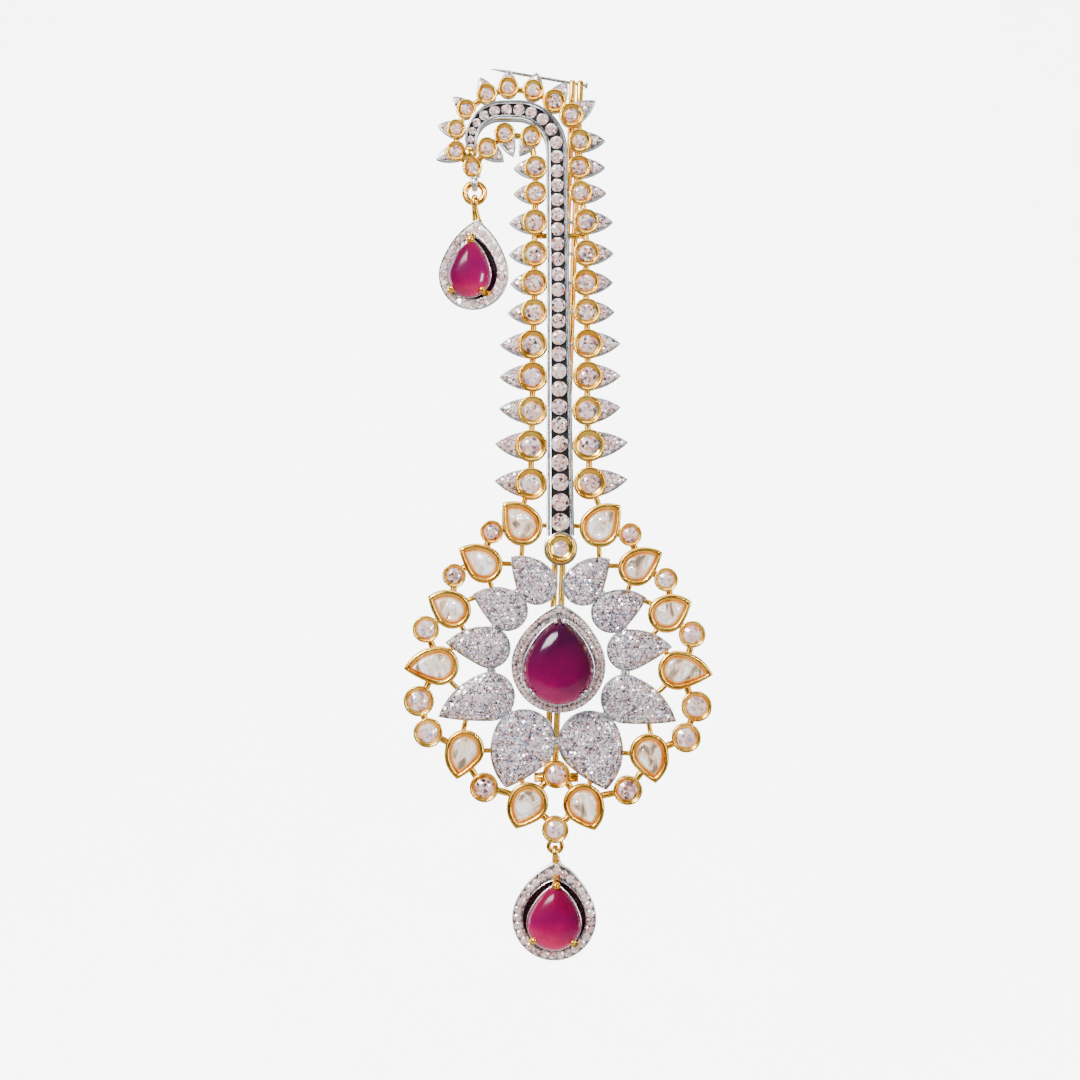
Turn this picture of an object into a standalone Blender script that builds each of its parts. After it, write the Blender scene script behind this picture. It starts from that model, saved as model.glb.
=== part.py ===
# Kalgi: a turban ornament with a hooked diamond plume over a ruby medallion, and two ruby drops.
# Every size below is in millimetres and becomes metres when a solid is made.
# The front faces -Y and +Z is up. Depth is counted forward from the axis of the turban pin.

import bmesh
import bpy
import math

METRES = 0.001

# The turban pin: the model's origin is where the cloth grips it
PIN_GRIP_X = 1.1
PIN_GRIP_HEIGHT = 34.3
PIN_TILT_DEG = 2.1
PIN_ROD_RADIUS = 0.5
PIN_ROD_SPACING = 1.2
PIN_TOP_ABOVE_STEM = 11.35
PIN_FOOT_LENGTH = 1.6
PIN_COLLAR_HEIGHT = 1.2
PIN_COLLAR_DROP = 4.5
PIN_SIDES = 8
PIN_BORE_CLEARANCE = 0.13

# The thin steel rod across the top of the pin
CROSS_ROD_RADIUS = 0.24
CROSS_ROD_LENGTH = 15.0
CROSS_ROD_SLOPE_DEG = 9.9
CROSS_ROD_DROP = 0.62
CROSS_ROD_PAST_PIN = 1.75
CROSS_ROD_POINT = 2.2
CROSS_ROD_NUB_RADIUS = 0.5
CROSS_ROD_NUB_LENGTH = 0.4

# Depths of the jewel in front of the pin's axis
BACK_DEPTH = 1.8
SLEEVE_CLEARANCE = 0.18
SLEEVE_WALL = 0.45
STONE_CLEARANCE = 0.12
METAL_CLEARANCE = 0.15

# The channel of the plume: a straight stem that turns over twice into a hook
STEM_LENGTH = 59.9
STEM_LEAN_DEG = 0.56
HOOK_FIRST_RADIUS = 6.0
HOOK_FLAT = 2.25
HOOK_SECOND_RADIUS = 4.65
HOOK_TAIL = 1.5
CHANNEL_FOOT_WIDTH = 4.1
CHANNEL_WALL_SHARE = 0.2
CHANNEL_THICKNESS = 2.5
CHANNEL_FLOOR_DROP = 0.75
CHANNEL_FIRST_STONE_GAP = 2.0
CHANNEL_STONE_PITCH = 1.26
CHANNEL_STONE_RISE = 0.55
CHANNEL_STONE_BED = 0.3
CHANNEL_STONE_TABLE = 0.56
CHANNEL_STONE_SIDES = 8
CHANNEL_STEP = 2.6

# share of the channel's whole length, width as a share of the foot's width
CHANNEL_WIDTHS = [
    (0.00, 1.00),
    (0.05, 0.99),
    (0.31, 0.86),
    (0.46, 0.77),
    (0.65, 0.71),
    (0.75, 0.69),
    (0.90, 0.59),
    (1.00, 0.30),
]

# The round bezels of the plume, each with its diamond
PLUME_BEZEL_RADIUS = 2.25
PLUME_BEZEL_THICKNESS = 2.3
PLUME_BEZEL_WALL_SHARE = 0.34
PLUME_BEZEL_TAPER = 0.9
PLUME_BEZEL_SIDES = 10
PLUME_STONE_TABLE = 0.56
PLUME_STONE_RISE = 0.3
LINK_WIDTH = 0.85
LINK_BACK = 0.5
LINK_THICKNESS = 1.0

# The pointed leaf outside each bezel
LEAF_THICKNESS = 1.5
LEAF_BACK = 0.15
LEAF_RISE = 0.35
LEAF_INSET = 0.72
LEAF_ROOT_SHARE = 0.88
LEAF_ROOT_DEG = 78.0
LEAF_SHOULDER_SHARE = 0.66
LEAF_FULLNESS = 1.25

# share of the stem's length, bezel radius share, space to the stem on the right in bezel radii,
# left and right reach of the leaf in bezel radii, lift of the leaf in degrees
BEZEL_ROWS = [
    (0.163, 1.00, 0.12, 2.46, 2.56, 5.5),
    (0.258, 1.00, 0.11, 2.42, 2.65, 4.0),
    (0.346, 0.92, 0.14, 2.45, 2.46, 5.0),
    (0.431, 0.92, 0.24, 2.43, 2.42, 1.0),
    (0.512, 0.92, 0.31, 2.40, 2.38, 1.0),
    (0.593, 0.84, 0.40, 2.12, 2.24, 0.0),
    (0.667, 0.83, 0.40, 1.94, 2.20, 0.0),
    (0.740, 0.81, 0.52, 2.13, 2.26, 0.0),
    (0.819, 0.79, 0.56, 2.17, 2.33, 0.0),
    (0.892, 0.72, 0.28, 2.05, 2.42, 0.0),
    (0.956, 0.72, 0.17, 2.03, 2.44, 0.0),
]

# share of the hook's length, side (+1 outer, -1 inner), bezel radius share, space to the channel
# and reach of the leaf in bezel radii, turn of the leaf in degrees
CREST_BEZELS = [
    (0.040, 1, 0.73, 0.30, 2.36, -6.5),
    (0.164, 1, 0.75, 0.40, 2.58, -1.0),
    (0.266, 1, 0.73, 0.18, 2.17, 5.0),
    (0.379, 1, 0.67, 0.34, 1.91, 3.0),
    (0.519, 1, 0.64, 0.50, 1.96, -2.0),
    (0.637, 1, 0.64, 0.14, 1.95, 4.0),
    (0.757, 1, 0.60, 0.14, 2.13, -1.0),
    (0.864, 1, 0.59, 0.20, 2.20, 3.0),
    (0.995, 1, 0.62, 0.15, 2.30, 20.0),
    (0.975, -1, 0.66, 0.20, 2.11, -36.0),
    (0.549, -1, 0.64, 0.54, 2.48, 21.0),
    (0.220, -1, 0.66, 0.15, 2.19, 13.0),
]
END_BEZEL_SHARE = 0.67
END_BEZEL_GAP_SHARE = 0.55
END_BEZEL_SIDE_STEP = 0.2
POST_WIDTH = 0.6
POST_ROOT_SHARE = 0.7

# Thin gold webs that tie the bezel rows to the stem, at a share of its length
WEB_HEIGHT_SHARE = 0.786
WEB_WIDTH = 0.8

# The medallion: places and radii are shares of its half width, heights count from the base bezel
MEDALLION_HALF_WIDTH = 23.2
MEDALLION_TURN_DEG = 1.1
BASE_BEZEL_RADIUS = 2.25
BASE_STONE_RADIUS = 1.42
BASE_BEZEL_THICKNESS = 3.1

# The flat uncut stones in pear bezels
POLKI_BEZEL_THICKNESS = 3.0
POLKI_BEZEL_WALL = 0.78
POLKI_STONE_THICKNESS = 1.5
POLKI_STONE_BEVEL = 0.42
POLKI_STONE_RISE = 0.1

# name, centre x and z, tip x and z, radius of the round end
POLKI_PLACES = [
    ("neck", 0.248, 0.142, 0.380, 0.290, 0.131),
    ("shoulder", 0.491, -0.114, 0.659, -0.010, 0.120),
    ("upper", 0.692, -0.410, 0.853, -0.326, 0.122),
    ("side", 0.769, -0.771, 1.000, -0.795, 0.128),
    ("lower", 0.595, -1.309, 0.642, -1.503, 0.128),
    ("foot", 0.178, -1.644, 0.257, -1.815, 0.132),
]

# The small round bezels of the medallion
ROUND_BEZEL_THICKNESS = 2.8
ROUND_BEZEL_WALL_SHARE = 0.31
ROUND_STONE_TABLE = 0.57
ROUND_STONE_CROWN = 0.42
ROUND_STONE_THICKNESS = 1.2
ROUND_STONE_RISE = 0.15
ROUND_SIDES = 10

# name, centre x and z, outer radius
ROUND_PLACES = [
    ("neck", 0.447, 0.100, 0.076),
    ("shoulder", 0.684, -0.187, 0.078),
    ("upper", 0.860, -0.537, 0.088),
    ("side", 0.897, -1.002, 0.100),
    ("lower", 0.834, -1.206, 0.096),
    ("foot", 0.464, -1.553, 0.095),
]
AXIS_ROUND_PLACES = [
    ("axis", 0.0, -1.459, 0.0905),
    ("end", 0.0, -1.816, 0.0873),
]

# The paved leaves around the ruby
PAVE_THICKNESS = 1.9
PAVE_DOME = 0.95
PAVE_BACK = 0.2
# centre x and z, tip x and z, radius of the round end
PAVE_PLACES = [
    (0.149, -0.233, 0.323, -0.058, 0.136),
    (0.338, -0.406, 0.566, -0.307, 0.136),
    (0.446, -0.650, 0.737, -0.624, 0.136),
    (0.436, -0.966, 0.772, -1.105, 0.160),
    (0.213, -1.250, 0.326, -1.558, 0.207),
]

# The halo and the ruby at the medallion's centre
HALO_CENTRE_SHARE = -0.756
HALO_RADIUS_SHARE = 0.305
HALO_TIP_SHARE = 0.40
HALO_BAND = 1.8
HALO_THICKNESS = 3.2
HALO_FLOOR = 1.2
RUBY_RADIUS = 4.88
RUBY_TIP_LENGTH = 6.45
RUBY_DROP = 0.3
RUBY_GIRDLE_DEPTH = 7.4
RUBY_DOME = 3.1
CLAW_WIDTH = 0.9
CLAW_THICKNESS = 0.4
CLAW_HOOK = 0.75

# Outlines with one round end and one tip
PEAR_ROUND_POINTS = 8
PEAR_FULL_FLANK = 0.85
PEAR_STRAIGHT_FLANK = 0.18
PEAR_EVEN_FLANK = 0.45
PEAR_TIP_INSET = 1.75

# Solder bars between neighbours
BAR_WIDTH = 0.95
BAR_THICKNESS = 1.2
BAR_BACK = 0.45
BAR_BITE = 0.42

# The links that the drops hang on
RING_DEPTH = 3.2
JUMP_RING_RADIUS = 1.45
JUMP_RING_WIRE = 0.48
JUMP_RING_SIDES = 14
EYE_WIRE = 0.3
LINK_CLEARANCE = 0.16
EYE_SIDES = 10
WIRE_SIDES = 6
LOWER_LOOP_RADIUS = 1.0
LOWER_LOOP_WIRE = 0.34
LOWER_LOOP_DROP = 2.55

# The two drops: radius and tip are those of the halo, the ruby sits in front of its opening
HOOK_DROP_RADIUS = 5.2
HOOK_DROP_TIP = 8.1
HOOK_DROP_LEAN_DEG = 4.0
HOOK_DROP_YAW_DEG = 13.0
HOOK_DROP_SHIFT = 0.18
HOOK_DROP_SETBACK = 0.75
HOOK_DROP_BAND = 1.65
HOOK_DROP_RUBY_RADIUS = 3.2
HOOK_DROP_RUBY_TIP = 5.2
HOOK_DROP_RUBY_DROP = 0.25
HOOK_DROP_NECK = 1.4
LOWER_DROP_RADIUS = 6.45
LOWER_DROP_TIP = 8.35
LOWER_DROP_LEAN_DEG = 3.0
LOWER_DROP_YAW_DEG = 0.0
LOWER_DROP_SHIFT = -0.15
LOWER_DROP_SETBACK = 0.83
LOWER_DROP_BAND = 1.7
LOWER_DROP_RUBY_RADIUS = 4.0
LOWER_DROP_RUBY_TIP = 5.75
LOWER_DROP_RUBY_DROP = 0.55
LOWER_DROP_NECK = 0.75
DROP_THICKNESS = 2.2
DROP_FLOOR = 0.8
DROP_GIRDLE_RISE = 1.0
DROP_DOME = 2.0
DROP_CLAW_WIDTH = 0.8


def rotated(point, degrees):
    """Turns an (x, z) point clockwise as seen from the front."""
    angle = math.radians(degrees)
    x, z = point
    return (x * math.cos(angle) + z * math.sin(angle), z * math.cos(angle) - x * math.sin(angle))


def loft(rings):
    """A closed solid through rings of equal count, with flat ends."""
    count = len(rings[0])
    points = [point for ring in rings for point in ring]
    faces = [tuple(range(count))]
    for level in range(len(rings) - 1):
        low = level * count
        for k in range(count):
            after = (k + 1) % count
            faces.append((low + k, low + after, low + count + after, low + count + k))
    last = (len(rings) - 1) * count
    faces.append(tuple(range(last, last + count)))
    return points, faces


def at_depth(outline, depth):
    return [(x, -depth, z) for x, z in outline]


def circle(centre, radius, sides):
    """A regular outline with a flat side, not a corner, towards +Z."""
    outline = []
    for k in range(sides):
        angle = math.tau * (k + 0.5) / sides
        outline.append((centre[0] + radius * math.sin(angle), centre[1] + radius * math.cos(angle)))
    return outline


def pear(centre, tip, radius, left_flank, right_flank, inset=0.0):
    """Outline with a round end about the centre and curved flanks that meet in the tip.

    A flank of 0 runs straight from the circle to the tip, and one of 1 stays wide and bends in late.
    """
    reach = math.dist(centre, tip)
    axis = ((tip[0] - centre[0]) / reach, (tip[1] - centre[1]) / reach)
    r = radius - inset
    d = reach - inset * PEAR_TIP_INSET
    touch = math.acos(min(r / d, 0.98))

    def flank_start(flank):
        return touch + flank * (math.radians(95.0) - touch)

    def flank_points(flank, side):
        angle = flank_start(flank)
        start = (r * math.cos(angle), side * r * math.sin(angle))
        hold = 0.58 * math.dist(start, (d, 0.0))
        control = (start[0] + hold * math.sin(angle), start[1] - side * hold * math.cos(angle))
        points = []
        for t in (0.36, 0.72):
            a, b, c = (1 - t) ** 2, 2 * t * (1 - t), t * t
            points.append((a * start[0] + b * control[0] + c * d, a * start[1] + b * control[1]))
        return points

    begin = flank_start(left_flank)
    end = math.tau - flank_start(right_flank)
    local = [(d, 0.0)]
    local += reversed(flank_points(left_flank, 1))
    for k in range(PEAR_ROUND_POINTS):
        angle = begin + (end - begin) * k / (PEAR_ROUND_POINTS - 1)
        local.append((r * math.cos(angle), r * math.sin(angle)))
    local += flank_points(right_flank, -1)
    return [
        (centre[0] + u * axis[0] - v * axis[1], centre[1] + u * axis[1] + v * axis[0])
        for u, v in local
    ]


def scaled(outline, centre, factor):
    return [(centre[0] + (x - centre[0]) * factor, centre[1] + (z - centre[1]) * factor) for x, z in outline]


def prism(outline, back, front):
    return loft([at_depth(outline, back), at_depth(outline, front)])


def bar(start, end, width, back, front):
    """A straight bar between two (x, z) points."""
    length = math.dist(start, end)
    along = ((end[0] - start[0]) / length, (end[1] - start[1]) / length)
    across = (-along[1] * width / 2, along[0] * width / 2)
    outline = [
        (start[0] + across[0], start[1] + across[1]),
        (end[0] + across[0], end[1] + across[1]),
        (end[0] - across[0], end[1] - across[1]),
        (start[0] - across[0], start[1] - across[1]),
    ]
    return prism(outline, back, front)


def nearest_on_edges(point, outline):
    best = None
    for k, (ax, az) in enumerate(outline):
        bx, bz = outline[(k + 1) % len(outline)]
        dx, dz = bx - ax, bz - az
        t = ((point[0] - ax) * dx + (point[1] - az) * dz) / (dx * dx + dz * dz)
        t = min(max(t, 0.0), 1.0)
        hit = (ax + t * dx, az + t * dz)
        gap = math.dist(point, hit)
        if best is None or gap < best[0]:
            best = (gap, hit)
    return best


def closest_points(first, second):
    """The nearest pair of points on two outlines."""
    pairs = []
    for point in first:
        gap, hit = nearest_on_edges(point, second)
        pairs.append((gap, point, hit))
    for point in second:
        gap, hit = nearest_on_edges(point, first)
        pairs.append((gap, hit, point))
    return min(pairs)[1:]


def middle(outline):
    return (
        sum(x for x, z in outline) / len(outline),
        sum(z for x, z in outline) / len(outline),
    )


def bridge(first, second, bite_first=BAR_BITE, bite_second=BAR_BITE, width=BAR_WIDTH):
    """A solder bar across the narrowest place between two outlines.

    It runs into each by its bite, and a negative bite stops short of the outline.
    """
    a, b = closest_points(first, second)
    toward = (middle(second)[0] - middle(first)[0], middle(second)[1] - middle(first)[1])
    length = math.hypot(*toward)
    along = (toward[0] / length, toward[1] / length)
    start = (a[0] - along[0] * bite_first, a[1] - along[1] * bite_first)
    end = (b[0] + along[0] * bite_second, b[1] + along[1] * bite_second)
    back = BACK_DEPTH + BAR_BACK
    return bar(start, end, width, back, back + BAR_THICKNESS)


def torus(centre, depth, radius, wire, sides, axis):
    """A ring of wire in the plane of the jewel (axis Y) or edge on to the front (axis X)."""
    rings = []
    for k in range(sides):
        turn = math.tau * (k + 0.5) / sides
        ring = []
        for j in range(WIRE_SIDES):
            round_wire = math.tau * (j + 0.5) / WIRE_SIDES
            out = radius + wire * math.cos(round_wire)
            side = wire * math.sin(round_wire)
            if axis == "Y":
                ring.append((centre[0] + out * math.sin(turn), -depth + side, centre[1] + out * math.cos(turn)))
            else:
                ring.append((centre[0] + side, -depth + out * math.sin(turn), centre[1] + out * math.cos(turn)))
        rings.append(ring)
    points = [point for ring in rings for point in ring]
    faces = []
    for k in range(sides):
        for j in range(WIRE_SIDES):
            k2, j2 = (k + 1) % sides, (j + 1) % WIRE_SIDES
            faces.append((
                k * WIRE_SIDES + j, k * WIRE_SIDES + j2,
                k2 * WIRE_SIDES + j2, k2 * WIRE_SIDES + j,
            ))
    return points, faces


def turned_bar(start, end, profile, sides):
    """A straight round bar between two (x, y, z) points, with a radius at each share of its length."""
    direction = [b - a for a, b in zip(start, end)]
    length = math.hypot(*direction)
    w = [value / length for value in direction]
    u = [w[2], 0.0, -w[0]] if abs(w[1]) < 0.9 else [1.0, 0.0, 0.0]
    size = math.hypot(*u)
    u = [value / size for value in u]
    v = [
        w[1] * u[2] - w[2] * u[1],
        w[2] * u[0] - w[0] * u[2],
        w[0] * u[1] - w[1] * u[0],
    ]
    rings = []
    for share, radius in profile:
        ring = []
        for k in range(sides):
            angle = math.tau * (k + 0.5) / sides
            a, b = radius * math.cos(angle), radius * math.sin(angle)
            ring.append(tuple(start[i] + share * direction[i] + a * u[i] + b * v[i] for i in range(3)))
        rings.append(ring)
    return loft(rings)


def rod(start, end, radius, sides, end_radius=None):
    """A straight round bar, tapering to end_radius where one is given."""
    return turned_bar(start, end, [(0.0, radius), (1.0, end_radius or radius)], sides)


def colour_material(name, colour, metallic, roughness):
    material = bpy.data.materials.new(name)
    material.use_nodes = True
    shader = material.node_tree.nodes["Principled BSDF"]
    shader.inputs["Base Color"].default_value = (*colour, 1.0)
    shader.inputs["Metallic"].default_value = metallic
    shader.inputs["Roughness"].default_value = roughness
    return material


def mesh_from(name, solids):
    """One mesh of closed solids, in metres from the pin's grip, with its faces pointing out."""
    points = []
    faces = []
    for solid_points, solid_faces in solids:
        start = len(points)
        for x, y, z in solid_points:
            points.append(((x - PIN_GRIP_X) * METRES, y * METRES, (z - PIN_GRIP_HEIGHT) * METRES))
        faces += [tuple(index + start for index in face) for face in solid_faces]
    mesh = bpy.data.meshes.new(name)
    mesh.from_pydata(points, [], faces)
    work = bmesh.new()
    work.from_mesh(mesh)
    bmesh.ops.recalc_face_normals(work, faces=work.faces[:])
    work.to_mesh(mesh)
    work.free()
    return mesh


def add_tool(name, solids):
    """Hidden solids that a piece is joined with or cut by."""
    tool = bpy.data.objects.new(name, mesh_from(name, solids))
    tool.hide_render = True
    tool.display_type = "WIRE"
    bpy.context.scene.collection.objects.link(tool)
    return tool


def add_piece(name, solids, material, cuts=()):
    """A named piece: its solids are soldered into one body, then the cuts are taken out."""
    piece = bpy.data.objects.new(name, mesh_from(name, solids[:1]))
    piece.data.materials.append(material)
    bpy.context.scene.collection.objects.link(piece)
    for label, operation, group in (("joined", "UNION", solids[1:]), ("cut", "DIFFERENCE", cuts)):
        if group:
            boolean = piece.modifiers.new(label, "BOOLEAN")
            boolean.operation = operation
            boolean.solver = "EXACT"
            boolean.use_self = True
            boolean.object = add_tool(f"{name}_{label}", group)
    return piece


# The channel's path

def path_segments():
    return [
        (STEM_LENGTH, None),
        (HOOK_FIRST_RADIUS * math.pi / 2, HOOK_FIRST_RADIUS),
        (HOOK_FLAT, None),
        (HOOK_SECOND_RADIUS * math.pi / 2, HOOK_SECOND_RADIUS),
        (HOOK_TAIL, None),
    ]


def path_length():
    return sum(length for length, radius in path_segments())


def path_at(distance):
    """Point, direction of travel and right-hand side of the channel's middle line."""
    x, z = 0.0, 0.0
    heading = math.radians(90.0 + STEM_LEAN_DEG)
    left = distance
    for length, radius in path_segments():
        step = min(left, length)
        if radius is None:
            x += step * math.cos(heading)
            z += step * math.sin(heading)
        else:
            turned = heading + step / radius
            x += radius * (math.sin(turned) - math.sin(heading))
            z -= radius * (math.cos(turned) - math.cos(heading))
            heading = turned
        left -= step
        if left <= 0:
            break
    return (x, z), (math.cos(heading), math.sin(heading)), (math.sin(heading), -math.cos(heading))


def channel_width(distance):
    share = distance / path_length()
    for (s0, w0), (s1, w1) in zip(CHANNEL_WIDTHS, CHANNEL_WIDTHS[1:]):
        if share <= s1:
            return CHANNEL_FOOT_WIDTH * (w0 + (w1 - w0) * (share - s0) / (s1 - s0))
    return CHANNEL_FOOT_WIDTH * CHANNEL_WIDTHS[-1][1]


def channel_front():
    return BACK_DEPTH + CHANNEL_THICKNESS


def channel_section(distance):
    """The channel's cross section: a floor between two side rails."""
    point, along, right = path_at(distance)
    half = channel_width(distance) / 2
    inner = half * (1 - 2 * CHANNEL_WALL_SHARE)
    floor = channel_front() - CHANNEL_FLOOR_DROP
    profile = [
        (-half, BACK_DEPTH), (-half, channel_front()), (-inner, channel_front()), (-inner, floor),
        (inner, floor), (inner, channel_front()), (half, channel_front()), (half, BACK_DEPTH),
    ]
    return [(point[0] + u * right[0], -depth, point[1] + u * right[1]) for u, depth in profile]


def channel_stations():
    """Distances along the channel: long steps up the stem, short ones round the hook."""
    start = BASE_BEZEL_RADIUS - 0.3
    stations = [start, 0.31 * path_length(), 0.46 * path_length(), 0.65 * path_length(), STEM_LENGTH]
    rest = path_length() - STEM_LENGTH
    steps = max(6, round(rest / CHANNEL_STEP * 1.6))
    stations += [STEM_LENGTH + rest * k / steps for k in range(1, steps + 1)]
    return stations


def faceted_stone(centre, radius, base, girdle, top, table_share, sides):
    """A round cut stone: straight below its girdle, then sloping facets up to a flat table."""
    wide = circle(centre, radius, sides)
    table = circle(centre, radius * table_share, sides)
    return loft([at_depth(wide, base), at_depth(wide, girdle), at_depth(table, top)])


def channel_stones():
    stones = []
    distance = BASE_BEZEL_RADIUS + CHANNEL_FIRST_STONE_GAP
    while True:
        width = channel_width(distance)
        slot = width * (1 - 2 * CHANNEL_WALL_SHARE)
        if distance + slot / 2 > path_length():
            break
        point, along, right = path_at(distance)
        floor = channel_front() - CHANNEL_FLOOR_DROP
        radius = (slot / 2 + 0.05) / math.cos(math.pi / CHANNEL_STONE_SIDES)
        turn = math.degrees(math.atan2(right[1], right[0]))
        wide = [rotated(p, -turn) for p in circle((0, 0), radius, CHANNEL_STONE_SIDES)]
        table = [rotated(p, -turn) for p in circle((0, 0), radius * CHANNEL_STONE_TABLE, CHANNEL_STONE_SIDES)]
        rings = [
            [(point[0] + x, point[1] + z) for x, z in outline]
            for outline in (wide, table)
        ]
        stones.append(loft([
            at_depth(rings[0], floor - CHANNEL_STONE_BED),
            at_depth(rings[1], floor + CHANNEL_STONE_RISE),
        ]))
        distance += slot * CHANNEL_STONE_PITCH
    return stones


# Bezels and leaves of the plume

def bezel_beside(distance, side, radius, space):
    """Centre of a bezel that stands beside the channel, and its outward direction."""
    point, along, right = path_at(distance)
    offset = channel_width(distance) / 2 + max(space * radius, METAL_CLEARANCE) + radius
    outward = (side * right[0], side * right[1])
    return (point[0] + outward[0] * offset, point[1] + outward[1] * offset), outward


def plume_bezel(centre, radius):
    """A tapered cup with its diamond fused into it."""
    back = circle(centre, radius * PLUME_BEZEL_TAPER, PLUME_BEZEL_SIDES)
    rim = circle(centre, radius, PLUME_BEZEL_SIDES)
    stone_radius = radius * (1 - PLUME_BEZEL_WALL_SHARE)
    inner = circle(centre, stone_radius, PLUME_BEZEL_SIDES)
    table = circle(centre, stone_radius * PLUME_STONE_TABLE, PLUME_BEZEL_SIDES)
    front = BACK_DEPTH + PLUME_BEZEL_THICKNESS
    return loft([
        at_depth(back, BACK_DEPTH),
        at_depth(rim, front),
        at_depth(inner, front),
        at_depth(table, front + PLUME_STONE_RISE),
    ])


def plume_leaf(centre, outward, radius, reach_share, turn):
    """A pointed leaf that wraps one side of its bezel."""
    axis = rotated(outward, -turn)
    across = (-axis[1], axis[0])
    reach = radius * reach_share
    root = math.radians(LEAF_ROOT_DEG)
    root_at = (LEAF_ROOT_SHARE * radius * math.cos(root), LEAF_ROOT_SHARE * radius * math.sin(root))
    slope = radius / math.sqrt(reach * reach - radius * radius)
    shoulder_at = (LEAF_SHOULDER_SHARE * reach, (1 - LEAF_SHOULDER_SHARE) * reach * slope * LEAF_FULLNESS)
    local = [
        (root_at[0], -root_at[1]), (shoulder_at[0], -shoulder_at[1]), (reach, 0.0),
        (shoulder_at[0], shoulder_at[1]), (root_at[0], root_at[1]),
    ]
    outline = [
        (centre[0] + u * axis[0] + v * across[0], centre[1] + u * axis[1] + v * across[1])
        for u, v in local
    ]
    heart = (centre[0] + axis[0] * reach * 0.5, centre[1] + axis[1] * reach * 0.5)
    back = BACK_DEPTH + LEAF_BACK
    crown = scaled(outline, heart, LEAF_INSET)
    return loft([
        at_depth(outline, back),
        at_depth(outline, back + LEAF_THICKNESS),
        at_depth(crown, back + LEAF_THICKNESS + LEAF_RISE),
    ]), outline


def link(first, second, stop_short=None):
    """A short gold link between two bezels; it can stop just short of the second one."""
    (c1, r1), (c2, r2) = first, second
    gap = math.dist(c1, c2)
    along = ((c2[0] - c1[0]) / gap, (c2[1] - c1[1]) / gap)
    end = c2
    if stop_short is not None:
        end = (c2[0] - along[0] * (r2 + stop_short), c2[1] - along[1] * (r2 + stop_short))
    back = BACK_DEPTH + LINK_BACK
    start = (c1[0] + along[0] * r1 * 0.4, c1[1] + along[1] * r1 * 0.4)
    if stop_short is None:
        end = (c2[0] - along[0] * r2 * 0.4, c2[1] - along[1] * r2 * 0.4)
    return bar(start, end, LINK_WIDTH, back, back + LINK_THICKNESS)


def row_places(side):
    """Centre, outward direction, radius, leaf reach and leaf turn for one side of the stem."""
    places = []
    for height, radius_share, right_space, left_reach, right_reach, lift in BEZEL_ROWS:
        radius = PLUME_BEZEL_RADIUS * radius_share
        space = right_space if side > 0 else 0.0
        centre, outward = bezel_beside(height * STEM_LENGTH, side, radius, space)
        reach = right_reach if side > 0 else left_reach
        places.append((centre, outward, radius, reach, side * lift))
    return places


def crest_places():
    hook = path_length() - STEM_LENGTH
    places = []
    for share, side, radius_share, space, reach, turn in CREST_BEZELS:
        radius = PLUME_BEZEL_RADIUS * radius_share
        centre, outward = bezel_beside(STEM_LENGTH + share * hook, side, radius, space)
        places.append((centre, outward, radius, reach, turn))
    return places


def end_bezel_place():
    """The last bezel, below the hook's end, which carries the ring of the hanging drop."""
    point, along, right = path_at(path_length())
    radius = PLUME_BEZEL_RADIUS * END_BEZEL_SHARE
    offset = radius * (1 + END_BEZEL_GAP_SHARE)
    x = point[0] + along[0] * offset + END_BEZEL_SIDE_STEP
    return (x, point[1] + along[1] * offset), radius


def leaves_for(places):
    return [plume_leaf(*place)[0] for place in places]


def row_solids(side):
    places = row_places(side)
    solids = [plume_bezel(centre, radius) for centre, outward, radius, reach, turn in places]
    solids += leaves_for(places)
    for low, high in zip(places, places[1:]):
        solids.append(link((low[0], low[2]), (high[0], high[2])))
    web_height = WEB_HEIGHT_SHARE * STEM_LENGTH
    centre = min(places, key=lambda place: abs(place[0][1] - web_height))[0]
    point, along, right = path_at(web_height)
    edge = channel_width(web_height) / 2 + METAL_CLEARANCE
    back = BACK_DEPTH + LINK_BACK
    web_start = (point[0] + side * right[0] * edge, web_height)
    web_end = (centre[0], web_height)
    solids.append(bar(web_start, web_end, WEB_WIDTH, back, back + LINK_THICKNESS))
    return solids


def highest_two(places):
    return sorted(places, key=lambda place: place[0][1])[-2:]


def crest_solids():
    places = crest_places()
    end_centre, end_radius = end_bezel_place()
    solids = [plume_bezel(centre, radius) for centre, outward, radius, reach, turn in places]
    solids.append(plume_bezel(end_centre, end_radius))
    solids += leaves_for(places)
    sides = [side for share, side, *rest in CREST_BEZELS]
    outer = [(place[0], place[2]) for place, side in zip(places, sides) if side > 0]
    inner = [(place[0], place[2]) for place, side in zip(places, sides) if side < 0]
    chain = outer + [(end_centre, end_radius)] + inner
    for first, second in zip(chain, chain[1:]):
        solids.append(link(first, second))
    top_right = row_places(1)[-1]
    top_left = row_places(-1)[-1]
    solids.append(link(chain[0], (top_right[0], top_right[2]), METAL_CLEARANCE))
    solids.append(link(chain[-1], (top_left[0], top_left[2]), METAL_CLEARANCE))
    for centre, outward, radius, reach, turn in highest_two(places):
        solids.append(rod_post(centre, rotated(outward, -turn), radius, reach))
    solids += fixed_eye(end_centre)
    return solids


# The pin behind the jewel

def pin_direction():
    tilt = math.radians(PIN_TILT_DEG)
    return (math.sin(tilt), math.cos(tilt))


def pin_point(height, sideways=0.0):
    """A point of the pin's plane at a height, moved sideways from its middle line."""
    along = pin_direction()
    rise = (height - PIN_GRIP_HEIGHT) / along[1]
    return (PIN_GRIP_X + along[0] * rise + along[1] * sideways, height - along[0] * sideways)


def pin_top_height():
    return STEM_LENGTH + PIN_TOP_ABOVE_STEM


def pin_foot_height():
    return catch_height() - PIN_FOOT_LENGTH


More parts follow.
